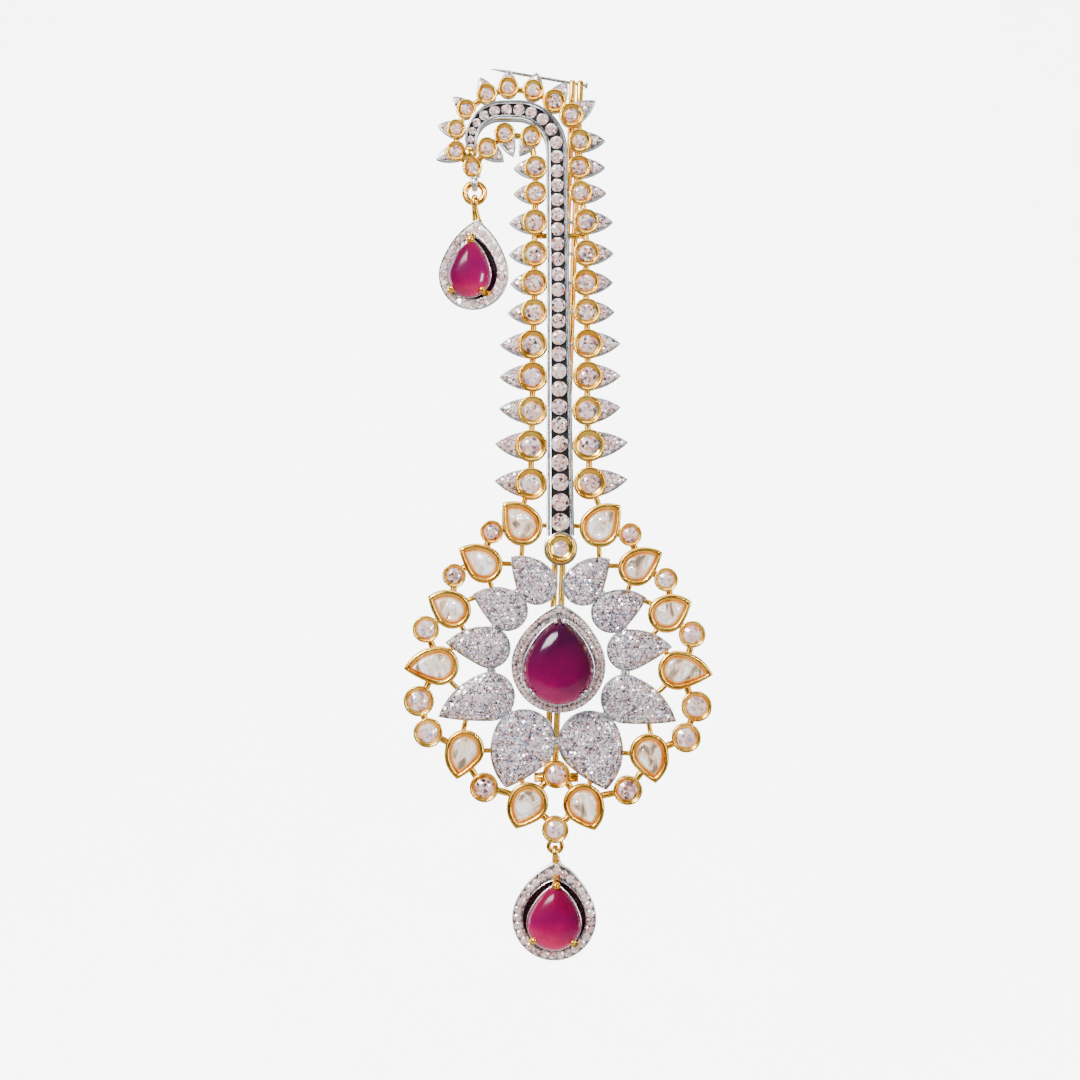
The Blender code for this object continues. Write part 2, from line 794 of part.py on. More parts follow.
def cross_rod_ends():
    """Left and right end of the steel rod, in the pin's own plane."""
    slope = math.radians(CROSS_ROD_SLOPE_DEG)
    x, z = pin_point(pin_top_height() - CROSS_ROD_DROP)
    right = (x + CROSS_ROD_PAST_PIN * math.cos(slope), z - CROSS_ROD_PAST_PIN * math.sin(slope))
    left = (right[0] - CROSS_ROD_LENGTH * math.cos(slope), right[1] + CROSS_ROD_LENGTH * math.sin(slope))
    return left, right


def cross_rod_height(x):
    (x0, z0), (x1, z1) = cross_rod_ends()
    return z0 + (z1 - z0) * (x - x0) / (x1 - x0)


def rod_post(centre, outward, radius, reach):
    """A post behind a crest leaf, from the leaf's middle up to the steel rod that rests against it."""
    middle_reach = radius * reach * POST_ROOT_SHARE
    root = (centre[0] + outward[0] * middle_reach, centre[1] + outward[1] * middle_reach)
    tip = (centre[0] + outward[0] * radius * reach, cross_rod_height(centre[0] + outward[0] * radius * reach))
    return bar(
        root, (tip[0], tip[1] + CROSS_ROD_RADIUS), POST_WIDTH,
        CROSS_ROD_RADIUS + METAL_CLEARANCE, BACK_DEPTH + LEAF_BACK + LEAF_THICKNESS / 2,
    )


def build_pin(materials):
    solids = []
    for side in (1, -1):
        foot = pin_point(pin_foot_height(), side * PIN_ROD_SPACING / 2)
        top = pin_point(pin_top_height(), side * PIN_ROD_SPACING / 2)
        solids.append(rod((foot[0], 0.0, foot[1]), (top[0], 0.0, top[1]), PIN_ROD_RADIUS, PIN_SIDES))
    collar_low = pin_point(pin_top_height() - PIN_COLLAR_DROP - PIN_COLLAR_HEIGHT)
    collar_high = pin_point(pin_top_height() - PIN_COLLAR_DROP)
    solids.append(bar(collar_low, collar_high, PIN_ROD_SPACING, -PIN_ROD_RADIUS * 0.7, PIN_ROD_RADIUS * 0.7))
    (x0, z0), (x1, z1) = cross_rod_ends()
    bore = rod((x0, 0.0, z0), (x1, 0.0, z1), CROSS_ROD_RADIUS + PIN_BORE_CLEARANCE, PIN_SIDES)
    add_piece("pin_fork", solids, materials["gold"], cuts=[bore])

    point = CROSS_ROD_POINT / CROSS_ROD_LENGTH
    nub = CROSS_ROD_NUB_LENGTH / CROSS_ROD_LENGTH
    profile = [
        (0.0, CROSS_ROD_RADIUS * 0.3), (point, CROSS_ROD_RADIUS), (1 - nub, CROSS_ROD_RADIUS),
        (1 - nub * 0.9, CROSS_ROD_NUB_RADIUS), (1.0, CROSS_ROD_NUB_RADIUS * 0.8),
    ]
    add_piece("cross_rod", [turned_bar((x0, 0.0, z0), (x1, 0.0, z1), profile, PIN_SIDES)], materials["steel"])


# The medallion

def medallion_point(x_share, z_share, side=1):
    place = (side * x_share * MEDALLION_HALF_WIDTH, z_share * MEDALLION_HALF_WIDTH)
    return rotated(place, MEDALLION_TURN_DEG)


def medallion_pear(row, side, inset=0.0):
    """Outline of a swept pear in the medallion: its outer flank is the full one."""
    x, z, tip_x, tip_z, radius = row
    centre = medallion_point(x, z, side)
    tip = medallion_point(tip_x, tip_z, side)
    left, right = (PEAR_FULL_FLANK, PEAR_STRAIGHT_FLANK)[::side]
    return pear(centre, tip, radius * MEDALLION_HALF_WIDTH, left, right, inset)


def cup(outer, inner, back_outline, thickness, floor):
    """A cup with a flat back, a rim and an open seat."""
    front = BACK_DEPTH + thickness
    return loft([
        at_depth(back_outline, BACK_DEPTH),
        at_depth(outer, front),
        at_depth(inner, front),
        at_depth(inner, BACK_DEPTH + floor),
    ])


def polki_seat_floor():
    return POLKI_BEZEL_THICKNESS + POLKI_STONE_RISE - POLKI_STONE_THICKNESS - STONE_CLEARANCE


def polki_cup(row, side):
    return cup(
        medallion_pear(row, side), medallion_pear(row, side, POLKI_BEZEL_WALL),
        medallion_pear(row, side, 0.25), POLKI_BEZEL_THICKNESS, polki_seat_floor(),
    )


def polki_stone(row, side):
    inset = POLKI_BEZEL_WALL + STONE_CLEARANCE
    girdle = medallion_pear(row, side, inset)
    table = medallion_pear(row, side, inset + POLKI_STONE_BEVEL)
    base = BACK_DEPTH + polki_seat_floor() + STONE_CLEARANCE
    top = base + POLKI_STONE_THICKNESS
    return loft([at_depth(girdle, base), at_depth(girdle, top - 0.35), at_depth(table, top)])


def round_stone_radius(radius):
    return radius * (1 - ROUND_BEZEL_WALL_SHARE) - STONE_CLEARANCE


def round_cup(centre, radius, thickness, stone_radius):
    floor = thickness + ROUND_STONE_RISE - ROUND_STONE_THICKNESS - STONE_CLEARANCE
    return cup(
        circle(centre, radius, ROUND_SIDES),
        circle(centre, stone_radius + STONE_CLEARANCE, ROUND_SIDES),
        circle(centre, radius * 0.92, ROUND_SIDES), thickness, floor,
    )


def round_stone(centre, thickness, stone_radius):
    top = BACK_DEPTH + thickness + ROUND_STONE_RISE
    return faceted_stone(
        centre, stone_radius, top - ROUND_STONE_THICKNESS, top - ROUND_STONE_CROWN, top,
        ROUND_STONE_TABLE, ROUND_SIDES,
    )


def round_bezels():
    """Name, centre and radius of each small round bezel of the medallion."""
    places = []
    for name, x, z, radius in ROUND_PLACES:
        for label, side in (("right", 1), ("left", -1)):
            places.append((f"{name}_{label}", medallion_point(x, z, side), radius * MEDALLION_HALF_WIDTH))
    for name, x, z, radius in AXIS_ROUND_PLACES:
        places.append((name, medallion_point(x, z), radius * MEDALLION_HALF_WIDTH))
    return places


def catch_height():
    return medallion_point(*AXIS_ROUND_PLACES[0][1:3])[1] - 0.75


def catch_solids():
    """The sleeve behind the axis bezel that traps the foot of the pin."""
    height = catch_height()
    x, z = pin_point(height)
    middle_x = medallion_point(*AXIS_ROUND_PLACES[0][1:3])[0]
    half_height = 0.65
    half_width = PIN_ROD_SPACING / 2 + PIN_ROD_RADIUS + SLEEVE_CLEARANCE
    depth = PIN_ROD_RADIUS + SLEEVE_CLEARANCE
    reach = 3.35
    solids = [prism([
        (middle_x - reach, height - half_height), (middle_x + reach, height - half_height),
        (middle_x + reach, height + half_height), (middle_x - reach, height + half_height),
    ], depth, BACK_DEPTH + 0.4)]
    for side in (1, -1):
        inner = x + side * half_width
        outer = x + side * (half_width + SLEEVE_WALL)
        low, high = sorted((inner, outer))
        solids.append(prism([
            (low, height - half_height * 0.9), (high, height - half_height * 0.9),
            (high, height + half_height * 0.9), (low, height + half_height * 0.9),
        ], -depth - SLEEVE_WALL * 0.6, depth + 0.2))
    span = half_width + SLEEVE_WALL * 0.7
    solids.append(prism([
        (x - span, height - half_height * 0.8), (x + span, height - half_height * 0.8),
        (x + span, height + half_height * 0.8), (x - span, height + half_height * 0.8),
    ], -depth - SLEEVE_WALL, -depth))
    return solids


def ring_outlines():
    """Outlines of the outer ring by name, for the solder bars between neighbours."""
    outlines = {}
    for name, *row in POLKI_PLACES:
        for label, side in (("right", 1), ("left", -1)):
            outlines[f"polki_{name}_{label}"] = medallion_pear(row, side)
    for name, centre, radius in round_bezels():
        outlines[f"round_{name}"] = circle(centre, radius, ROUND_SIDES)
    return outlines


def pave_outline(index, side, inset=0.0):
    return medallion_pear(PAVE_PLACES[index], side, inset)


RING_NEIGHBOURS = [
    ("polki_neck", "round_neck"), ("round_neck", "polki_shoulder"),
    ("polki_shoulder", "round_shoulder"), ("round_shoulder", "polki_upper"),
    ("polki_upper", "round_upper"), ("round_upper", "polki_side"),
    ("polki_side", "round_side"), ("round_side", "round_lower"),
    ("round_lower", "polki_lower"), ("polki_lower", "round_foot"),
    ("round_foot", "polki_foot"),
]
RING_TO_PAVE = [
    ("polki_neck", 0), ("round_neck", 0), ("polki_shoulder", 0), ("polki_shoulder", 1), ("polki_upper", 1),
    ("polki_upper", 2), ("polki_side", 2), ("polki_side", 3), ("polki_lower", 3),
    ("polki_lower", 4), ("polki_foot", 4),
]


def stem_edge_outline(height):
    """A short stretch of the stem's foot, for the bars that reach it."""
    half = channel_width(height) / 2
    point, along, right = path_at(height)
    return [
        (point[0] - half, height - 0.5), (point[0] + half, height - 0.5),
        (point[0] + half, height + 0.5), (point[0] - half, height + 0.5),
    ]


def ring_solids():
    outlines = ring_outlines()
    solids = []
    for name, *row in POLKI_PLACES:
        for side in (1, -1):
            solids.append(polki_cup(row, side))
    for name, centre, radius in round_bezels():
        stone_radius = round_stone_radius(radius)
        solids.append(round_cup(centre, radius, ROUND_BEZEL_THICKNESS, stone_radius))
    stem_foot = stem_edge_outline(medallion_point(*POLKI_PLACES[0][1:3])[1])
    for label, side in (("right", 1), ("left", -1)):
        for first, second in RING_NEIGHBOURS:
            solids.append(bridge(outlines[f"{first}_{label}"], outlines[f"{second}_{label}"]))
        for end in ("round_axis", "round_end"):
            solids.append(bridge(outlines[f"polki_foot_{label}"], outlines[end]))
        for name, index in RING_TO_PAVE:
            solids.append(bridge(
                outlines[f"{name}_{label}"], pave_outline(index, side),
                bite_second=-METAL_CLEARANCE, width=BAR_WIDTH * 0.75,
            ))
        solids.append(bridge(
            outlines[f"polki_neck_{label}"], stem_foot, bite_second=-METAL_CLEARANCE, width=BAR_WIDTH * 0.7))
        leaf_outline = plume_leaf(*row_places(side)[0])[1]
        solids.append(bridge(
            outlines[f"polki_neck_{label}"], leaf_outline, bite_second=-METAL_CLEARANCE, width=BAR_WIDTH * 0.8))
    solids += catch_solids()
    solids.append(lower_loop())
    return solids


def pave_solids():
    """The ring of ten domed leaves, soldered where they touch."""
    solids = []
    count = len(PAVE_PLACES)
    for side in (1, -1):
        for index in range(count):
            centre = medallion_point(*PAVE_PLACES[index][:2], side)
            outline = pave_outline(index, side)
            back = BACK_DEPTH + PAVE_BACK
            solids.append(loft([
                at_depth(pave_outline(index, side, 0.2), back),
                at_depth(outline, back + PAVE_THICKNESS * 0.55),
                at_depth(pave_outline(index, side, 0.35), back + PAVE_THICKNESS),
                at_depth(scaled(outline, centre, 0.45), back + PAVE_THICKNESS + PAVE_DOME),
            ]))
        for index in range(count - 1):
            solids.append(bridge(pave_outline(index, side), pave_outline(index + 1, side), width=1.3))
    solids.append(bridge(pave_outline(count - 1, 1), pave_outline(count - 1, -1), width=1.3))
    return solids


# Halos, rubies and claws

class Halo:
    """A pear-shaped cup with a ruby that stands in front of its opening on three claws.

    It is laid out about the centre of its round end, leaned and yawed, and then moved to its place.
    """

    def __init__(self, centre, depth, radius, tip, lean, yaw, band, flank):
        self.centre = centre
        self.depth = depth
        self.radius = radius
        self.tip = tip
        self.lean = lean
        self.yaw = math.radians(yaw)
        self.band = band
        self.flank = flank

    def outline(self, inset):
        return pear((0.0, 0.0), (0.0, self.tip), self.radius, self.flank, self.flank, inset)

    def place(self, outline, depth):
        """Local outline points at a depth in front of the cup's back."""
        ring = []
        for point in outline:
            x, z = rotated(point, self.lean)
            ring.append((
                self.centre[0] + x * math.cos(self.yaw) - depth * math.sin(self.yaw),
                -self.depth - depth * math.cos(self.yaw) - x * math.sin(self.yaw),
                self.centre[1] + z,
            ))
        return ring

    def cup(self, thickness, floor):
        return loft([
            self.place(self.outline(0.35), 0.0),
            self.place(self.outline(0.0), thickness * 0.55),
            self.place(self.outline(0.3), thickness),
            self.place(self.outline(self.band * 0.8), thickness),
            self.place(self.outline(self.band), thickness * 0.85),
            self.place(self.outline(self.band + 0.1), floor),
        ])

    def ruby(self, radius, tip, drop, girdle, dome, floor):
        def shape(share):
            outline = pear((0.0, 0.0), (0.0, tip), radius, PEAR_EVEN_FLANK, PEAR_EVEN_FLANK)
            return [(x * share, z * share - drop) for x, z in outline]
        return loft([
            self.place(shape(0.55), floor + STONE_CLEARANCE),
            self.place(shape(1.0), girdle),
            self.place(shape(0.93), girdle + dome * 0.4),
            self.place(shape(0.72), girdle + dome * 0.8),
            self.place(shape(0.38), girdle + dome),
        ])

    def claw(self, angle, ruby_radius, ruby_tip, drop, girdle, top, width, thickness):
        """A claw that rises from the band and hooks over the ruby's edge, on one side of the ruby."""
        outline = pear((0.0, 0.0), (0.0, ruby_tip), ruby_radius, PEAR_EVEN_FLANK, PEAR_EVEN_FLANK)
        direction = (math.sin(angle), math.cos(angle))
        far = (direction[0] * 100.0, direction[1] * 100.0)
        edge = crossing(outline, far)
        band_edge = crossing(self.outline(self.band), far)
        reach = math.hypot(*edge)
        seat = math.hypot(*band_edge) + self.band * 0.3
        across = (direction[1], -direction[0])

        def quad(inner, outer, shift, depth):
            corners = [
                (inner, -width / 2), (inner, width / 2), (outer, width / 2), (outer, -width / 2),
            ]
            points = [
                (direction[0] * a + across[0] * b, direction[1] * a + across[1] * b - shift)
                for a, b in corners
            ]
            return self.place(points, depth)

        clear = reach + STONE_CLEARANCE * 1.3
        return loft([
            quad(seat - thickness * 1.5, seat, 0.0, self.claw_root),
            quad(clear, clear + thickness, drop, girdle),
            quad(clear - thickness * 0.4, clear + thickness * 0.8, drop, girdle + (top - girdle) * 0.75),
            quad(clear - thickness * 1.4, clear + thickness * 0.2, drop, top),
        ])


def crossing(outline, far):
    """Where a ray from the middle of an outline leaves it."""
    best = (0.0, 0.0)
    for k, (ax, az) in enumerate(outline):
        bx, bz = outline[(k + 1) % len(outline)]
        ex, ez = bx - ax, bz - az
        cross = far[0] * ez - far[1] * ex
        if abs(cross) < 1e-9:
            continue
        t = (ax * ez - az * ex) / cross
        s = (ax * far[1] - az * far[0]) / cross
        if t > 0 and -1e-6 <= s <= 1 + 1e-6:
            best = (far[0] * t, far[1] * t)
    return best


CLAW_ANGLES_DEG = (0.0, 132.0, 228.0)


def build_centre(materials):
    centre = medallion_point(0.0, HALO_CENTRE_SHARE)
    halo = Halo(
        centre, BACK_DEPTH, HALO_RADIUS_SHARE * MEDALLION_HALF_WIDTH, HALO_TIP_SHARE * MEDALLION_HALF_WIDTH,
        MEDALLION_TURN_DEG, 0.0, HALO_BAND, PEAR_EVEN_FLANK,
    )
    halo.claw_root = HALO_THICKNESS * 0.5
    girdle = RUBY_GIRDLE_DEPTH - BACK_DEPTH
    claws = [
        halo.claw(math.radians(angle), RUBY_RADIUS, RUBY_TIP_LENGTH, RUBY_DROP, girdle, girdle + CLAW_HOOK * 2,
                  CLAW_WIDTH, CLAW_THICKNESS)
        for angle in CLAW_ANGLES_DEG
    ]
    add_piece("ruby_halo", [halo.cup(HALO_THICKNESS, HALO_FLOOR)] + claws, materials["white_gold"])
    ruby = halo.ruby(RUBY_RADIUS, RUBY_TIP_LENGTH, RUBY_DROP, girdle, RUBY_DOME, HALO_FLOOR)
    add_piece("central_ruby", [ruby], materials["ruby"])


# The links and the drops

def jump_ring_centre():
    """The ring hangs on the fixed eye, which is soldered below the end bezel."""
    centre, radius = end_bezel_place()
    eye_radius = eye_ring_radius(JUMP_RING_WIRE)
    return (centre[0] + 0.35, centre[1] - radius - eye_radius * 0.9 - JUMP_RING_RADIUS)


def eye_ring_radius(wire):
    """Middle radius of an eye that holds a wire with clearance all round."""
    return wire + LINK_CLEARANCE + EYE_WIRE


def fixed_eye(end_centre):
    ring_x, ring_z = jump_ring_centre()
    eye_radius = eye_ring_radius(JUMP_RING_WIRE)
    eye_centre = (ring_x, ring_z + JUMP_RING_RADIUS)
    eye = torus(eye_centre, RING_DEPTH, eye_radius, EYE_WIRE, EYE_SIDES, "X")
    neck = bar(
        (ring_x - 0.1, eye_centre[1] + eye_radius - 0.1), (end_centre[0], end_centre[1]), 1.1,
        RING_DEPTH - 0.6, RING_DEPTH + 0.6,
    )
    return [eye, neck]


def lower_loop_centre():
    x, z = medallion_point(*AXIS_ROUND_PLACES[1][1:3])
    return (x, z - LOWER_LOOP_DROP)


def lower_loop():
    return torus(lower_loop_centre(), RING_DEPTH, LOWER_LOOP_RADIUS, LOWER_LOOP_WIRE, EYE_SIDES, "Y")


def build_drop(name, materials, pivot, wire, halo, neck, ruby):
    """A drop that hangs by its edge-on eye from a wire at the pivot."""
    eye_radius = eye_ring_radius(wire)
    eye = torus(pivot, RING_DEPTH, eye_radius, EYE_WIRE, EYE_SIDES, "X")
    ruby_radius, ruby_tip, ruby_drop = ruby
    tip = halo.place([(0.0, halo.tip - 0.9)], DROP_THICKNESS * 0.5)[0]
    low = pivot[1] - eye_radius
    neck_top = (pivot[0], -RING_DEPTH, low + 0.05)
    stalk = rod(neck_top, tip, EYE_WIRE * 1.5, WIRE_SIDES, EYE_WIRE * 2.2)
    halo.claw_root = DROP_THICKNESS * 0.5
    girdle = DROP_THICKNESS + DROP_GIRDLE_RISE
    claws = [
        halo.claw(math.radians(angle), ruby_radius, ruby_tip, ruby_drop, girdle, girdle + CLAW_HOOK * 1.4,
                  DROP_CLAW_WIDTH, CLAW_THICKNESS)
        for angle in CLAW_ANGLES_DEG
    ]
    frame = [halo.cup(DROP_THICKNESS, DROP_FLOOR), eye, stalk] + claws
    add_piece(f"{name}_frame", frame, materials["white_gold"])
    stone = halo.ruby(ruby_radius, ruby_tip, ruby_drop, girdle, DROP_DOME, DROP_FLOOR)
    add_piece(f"{name}_ruby", [stone], materials["ruby"])


def build_drops(materials):
    ring_x, ring_z = jump_ring_centre()
    ring = torus((ring_x, ring_z), RING_DEPTH, JUMP_RING_RADIUS, JUMP_RING_WIRE, JUMP_RING_SIDES, "Y")
    add_piece("jump_ring", [ring], materials["gold"])

    pivot = (ring_x, ring_z - JUMP_RING_RADIUS)
    eye_low = pivot[1] - eye_ring_radius(JUMP_RING_WIRE) - EYE_WIRE
    centre = (ring_x + HOOK_DROP_SHIFT, eye_low - HOOK_DROP_NECK - HOOK_DROP_TIP)
    halo = Halo(
        centre, RING_DEPTH - HOOK_DROP_SETBACK - DROP_THICKNESS / 2, HOOK_DROP_RADIUS, HOOK_DROP_TIP,
        HOOK_DROP_LEAN_DEG, HOOK_DROP_YAW_DEG, HOOK_DROP_BAND, PEAR_EVEN_FLANK,
    )
    build_drop("hook_drop", materials, pivot, JUMP_RING_WIRE, halo, HOOK_DROP_NECK,
               (HOOK_DROP_RUBY_RADIUS, HOOK_DROP_RUBY_TIP, HOOK_DROP_RUBY_DROP))

    loop_x, loop_z = lower_loop_centre()
    pivot = (loop_x, loop_z - LOWER_LOOP_RADIUS)
    eye_low = pivot[1] - eye_ring_radius(LOWER_LOOP_WIRE) - EYE_WIRE
    centre = (loop_x + LOWER_DROP_SHIFT, eye_low - LOWER_DROP_NECK - LOWER_DROP_TIP)
    halo = Halo(
        centre, RING_DEPTH - LOWER_DROP_SETBACK - DROP_THICKNESS / 2, LOWER_DROP_RADIUS, LOWER_DROP_TIP,
        LOWER_DROP_LEAN_DEG, LOWER_DROP_YAW_DEG, LOWER_DROP_BAND, PEAR_EVEN_FLANK,
    )
    build_drop("lower_drop", materials, pivot, LOWER_LOOP_WIRE, halo, LOWER_DROP_NECK,
               (LOWER_DROP_RUBY_RADIUS, LOWER_DROP_RUBY_TIP, LOWER_DROP_RUBY_DROP))


def build_plume(materials):
    base = (0.0, 0.0)
    sections = [channel_section(distance) for distance in channel_stations()]
    channel = loft(sections)
    base_cup = round_cup(base, BASE_BEZEL_RADIUS, BASE_BEZEL_THICKNESS, BASE_STONE_RADIUS)
    add_piece("stem_channel", [channel, base_cup] + channel_stones(), materials["white_gold"])
    add_piece("base_diamond", [round_stone(base, BASE_BEZEL_THICKNESS, BASE_STONE_RADIUS)], materials["diamond"])
    add_piece("right_bezel_row", row_solids(1), materials["gold"])
    add_piece("left_bezel_row", row_solids(-1), materials["gold"])
    add_piece("crest_bezel_row", crest_solids(), materials["gold"])


def build_medallion(materials):
    add_piece("polki_ring", ring_solids(), materials["gold"])
    for name, *row in POLKI_PLACES:
        for label, side in (("right", 1), ("left", -1)):
            add_piece(f"polki_{name}_{label}", [polki_stone(row, side)], materials["polki"])
    for name, centre, radius in round_bezels():
        stone = round_stone(centre, ROUND_BEZEL_THICKNESS, round_stone_radius(radius))
        add_piece(f"diamond_{name}", [stone], materials["diamond"])
    add_piece("pave_leaves", pave_solids(), materials["white_gold"])


def clear_scene():
    for item in list(bpy.data.objects):
        bpy.data.objects.remove(item, do_unlink=True)


def main():
    clear_scene()
    materials = {
        "gold": colour_material("yellow_gold", (0.83, 0.56, 0.22), 1.0, 0.25),
        "white_gold": colour_material("white_gold", (0.72, 0.71, 0.70), 1.0, 0.28),
        "steel": colour_material("steel", (0.6, 0.6, 0.6), 1.0, 0.3),
        "diamond": colour_material("diamond", (0.82, 0.78, 0.8), 0.0, 0.05),
        "polki": colour_material("polki", (0.86, 0.79, 0.72), 0.0, 0.12),
        "ruby": colour_material("ruby", (0.42, 0.02, 0.14), 0.0, 0.06),
    }
    build_plume(materials)
    build_medallion(materials)
    build_centre(materials)
    build_drops(materials)
    build_pin(materials)


main()
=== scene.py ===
import math

import bpy
import numpy as np
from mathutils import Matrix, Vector


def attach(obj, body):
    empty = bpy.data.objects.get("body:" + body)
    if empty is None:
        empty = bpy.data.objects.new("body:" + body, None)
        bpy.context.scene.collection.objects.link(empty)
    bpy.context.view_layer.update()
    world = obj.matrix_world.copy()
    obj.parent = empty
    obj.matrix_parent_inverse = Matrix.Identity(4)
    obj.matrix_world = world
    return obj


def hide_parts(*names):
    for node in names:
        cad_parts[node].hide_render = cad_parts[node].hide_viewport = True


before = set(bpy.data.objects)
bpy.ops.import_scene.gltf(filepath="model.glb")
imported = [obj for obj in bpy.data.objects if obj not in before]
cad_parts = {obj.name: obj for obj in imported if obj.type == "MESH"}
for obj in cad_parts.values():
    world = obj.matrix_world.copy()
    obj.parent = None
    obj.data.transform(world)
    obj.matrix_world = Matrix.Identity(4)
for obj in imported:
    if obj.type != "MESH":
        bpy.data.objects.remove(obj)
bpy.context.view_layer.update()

print("kalgi: frame loaded,", len(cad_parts), "solids")

# Lengths below are millimetres: x to the right and z up from the base bezel, depth forward from the pin.
# The model's own origin is the pin's grip, so every finished mesh is shifted by that and scaled to metres.
grip = {"x": 1.1, "height": 34.3}
backDepth = 1.8
rng = np.random.default_rng(7)


def rotated(points, degrees):
    # (x, z) points turned clockwise as seen from the front
    a = math.radians(degrees)
    p = np.asarray(points, float)
    x, z = p[..., 0], p[..., 1]
    return np.stack([x * math.cos(a) + z * math.sin(a), z * math.cos(a) - x * math.sin(a)], -1)


def circleOutline(centre, radius, sides=32):
    # sides points at equal angles round the centre
    a = math.tau * (np.arange(sides) + 0.5) / sides
    return np.asarray(centre, float) + radius * np.stack([np.sin(a), np.cos(a)], 1)


def pearOutline(centre, tip, radius, left, right, inset=0.0, arc=26, flank=9, draw=1.75):
    # an arc round the centre, and on each side a quadratic curve from the arc's tangent to the tip
    centre, tip = np.asarray(centre, float), np.asarray(tip, float)
    reach = np.linalg.norm(tip - centre)
    u = (tip - centre) / reach
    v = np.array([-u[1], u[0]])
    r, d = radius - inset, reach - inset * draw
    touch = math.acos(min(r / d, 0.98))

    def flankCurve(fullness, side):
        # one flank: it leaves the arc where the tangent would, or further round for a fuller pear
        angle = touch + fullness * (math.radians(95.0) - touch)
        start = np.array([r * math.cos(angle), side * r * math.sin(angle)])
        hold = 0.58 * math.hypot(d - start[0], start[1])
        control = start + hold * np.array([math.sin(angle), -side * math.cos(angle)])
        t = np.linspace(0, 1, flank + 1)[:, None]
        return angle, (1 - t) ** 2 * start + 2 * t * (1 - t) * control + t * t * np.array([d, 0.0])

    begin, leftCurve = flankCurve(left, 1)
    over, rightCurve = flankCurve(right, -1)
    angles = np.linspace(begin, math.tau - over, arc + 1)
    round_ = r * np.stack([np.cos(angles), np.sin(angles)], 1)
    local = np.concatenate([leftCurve[::-1][:-1], round_, rightCurve[1:-1]])
    return centre + local[:, :1] * u + local[:, 1:] * v


def deepestInset(centre, tip, radius):
    # how far a pear outline can shrink before its round end and its tip meet
    reach = math.dist(centre, tip)
    return min(0.88 * radius, (reach - 1.15 * radius) / 0.6)


def edgeDistance(points, outline):
    # shortest distance from each point to the outline, and the unit direction from there to the point
    a = outline
    e = np.roll(outline, -1, 0) - a
    t = ((points[:, None] - a) * e).sum(2) / np.maximum((e * e).sum(1), 1e-12)
    gap = points[:, None] - (a + np.clip(t, 0, 1)[..., None] * e)
    distance = np.linalg.norm(gap, axis=2)
    k = distance.argmin(1)
    pick = np.arange(len(points))
    d = distance[pick, k]
    return d, gap[pick, k] / np.maximum(d, 1e-9)[:, None]


def isInside(points, outline):
    # counts how often a ray to the right crosses the outline
    a, b = outline, np.roll(outline, -1, 0)
    x, z = points[:, :1], points[:, 1:]
    crosses = (a[:, 1] > z) != (b[:, 1] > z)
    slope = (b[:, 0] - a[:, 0]) / np.where(b[:, 1] == a[:, 1], 1e-9, b[:, 1] - a[:, 1])
    hits = crosses & (x < a[:, 0] + (z - a[:, 1]) * slope)
    return hits.sum(1) % 2 == 1


def evenPoints(outline, spacing, phase=0.0):
    # points at equal steps along a closed outline
    closed = np.concatenate([outline, outline[:1]])
    along = np.concatenate([[0], np.cumsum(np.linalg.norm(np.diff(closed, axis=0), axis=1))])
    count = max(3, int(round(along[-1] / spacing)))
    s = (np.arange(count) + phase) % count * along[-1] / count
    return np.stack([np.interp(s, along, closed[:, 0]), np.interp(s, along, closed[:, 1])], 1)


def atDepth(outline, depth):
    # an outline on paper set at a depth in front of the pin
    return np.stack([outline[:, 0], np.full(len(outline), -float(depth)), outline[:, 1]], 1)


def patch(vertices, faces, tone=0.5):
    # vertices, arrays of faces and a tone for each; a closed patch whose volume comes out negative is turned over
    v = np.asarray(vertices, float)
    faces = [np.atleast_2d(np.asarray(f, int)) for f in faces]
    volume = 0.0
    for f in faces:
        for k in range(1, f.shape[1] - 1):
            volume += np.einsum("ij,ij->i", v[f[:, 0]], np.cross(v[f[:, k]], v[f[:, k + 1]])).sum()
    if volume < 0:
        faces = [f[:, ::-1] for f in faces]
    tones = [np.full(len(f), float(tone)) if np.isscalar(tone) else tone[i] for i, f in enumerate(faces)]
    return {"v": v, "f": faces, "tone": tones}


def loft(rings, closed=False, bed=None):
    # quads between neighbouring rings; the ends are capped, or joined to each other where closed
    # from ring number bed on, the faces take tone 0, which the metals show with painted shade, as under set stones
    rings = np.asarray(rings, float)
    levels, count = rings.shape[:2]
    i = np.arange(levels if closed else levels - 1)[:, None]
    k = np.arange(count)[None, :]
    a = (i * count + k) % (levels * count)
    b = i * count + (k + 1) % count
    c = ((i + 1) % levels) * count
    quads = np.stack([a, b, c + (k + 1) % count, c + k], -1).reshape(-1, 4)
    faces, tones = [quads], [np.full(len(quads), 0.5)]
    if bed is not None:
        tones[0][bed * count:] = 0.0
    if not closed:
        faces += [np.arange(count)[::-1][None], ((levels - 1) * count + np.arange(count))[None]]
        tones += [np.array([0.5]), np.array([0.5 if bed is None else 0.0])]
    return patch(rings.reshape(-1, 3), faces, tones)


def outlineLoft(outlineAt, profile, bed=None):
    # the profile's (inset, depth) points carried round an outline
    return loft([atDepth(outlineAt(inset), depth) for inset, depth in profile], bed=bed)


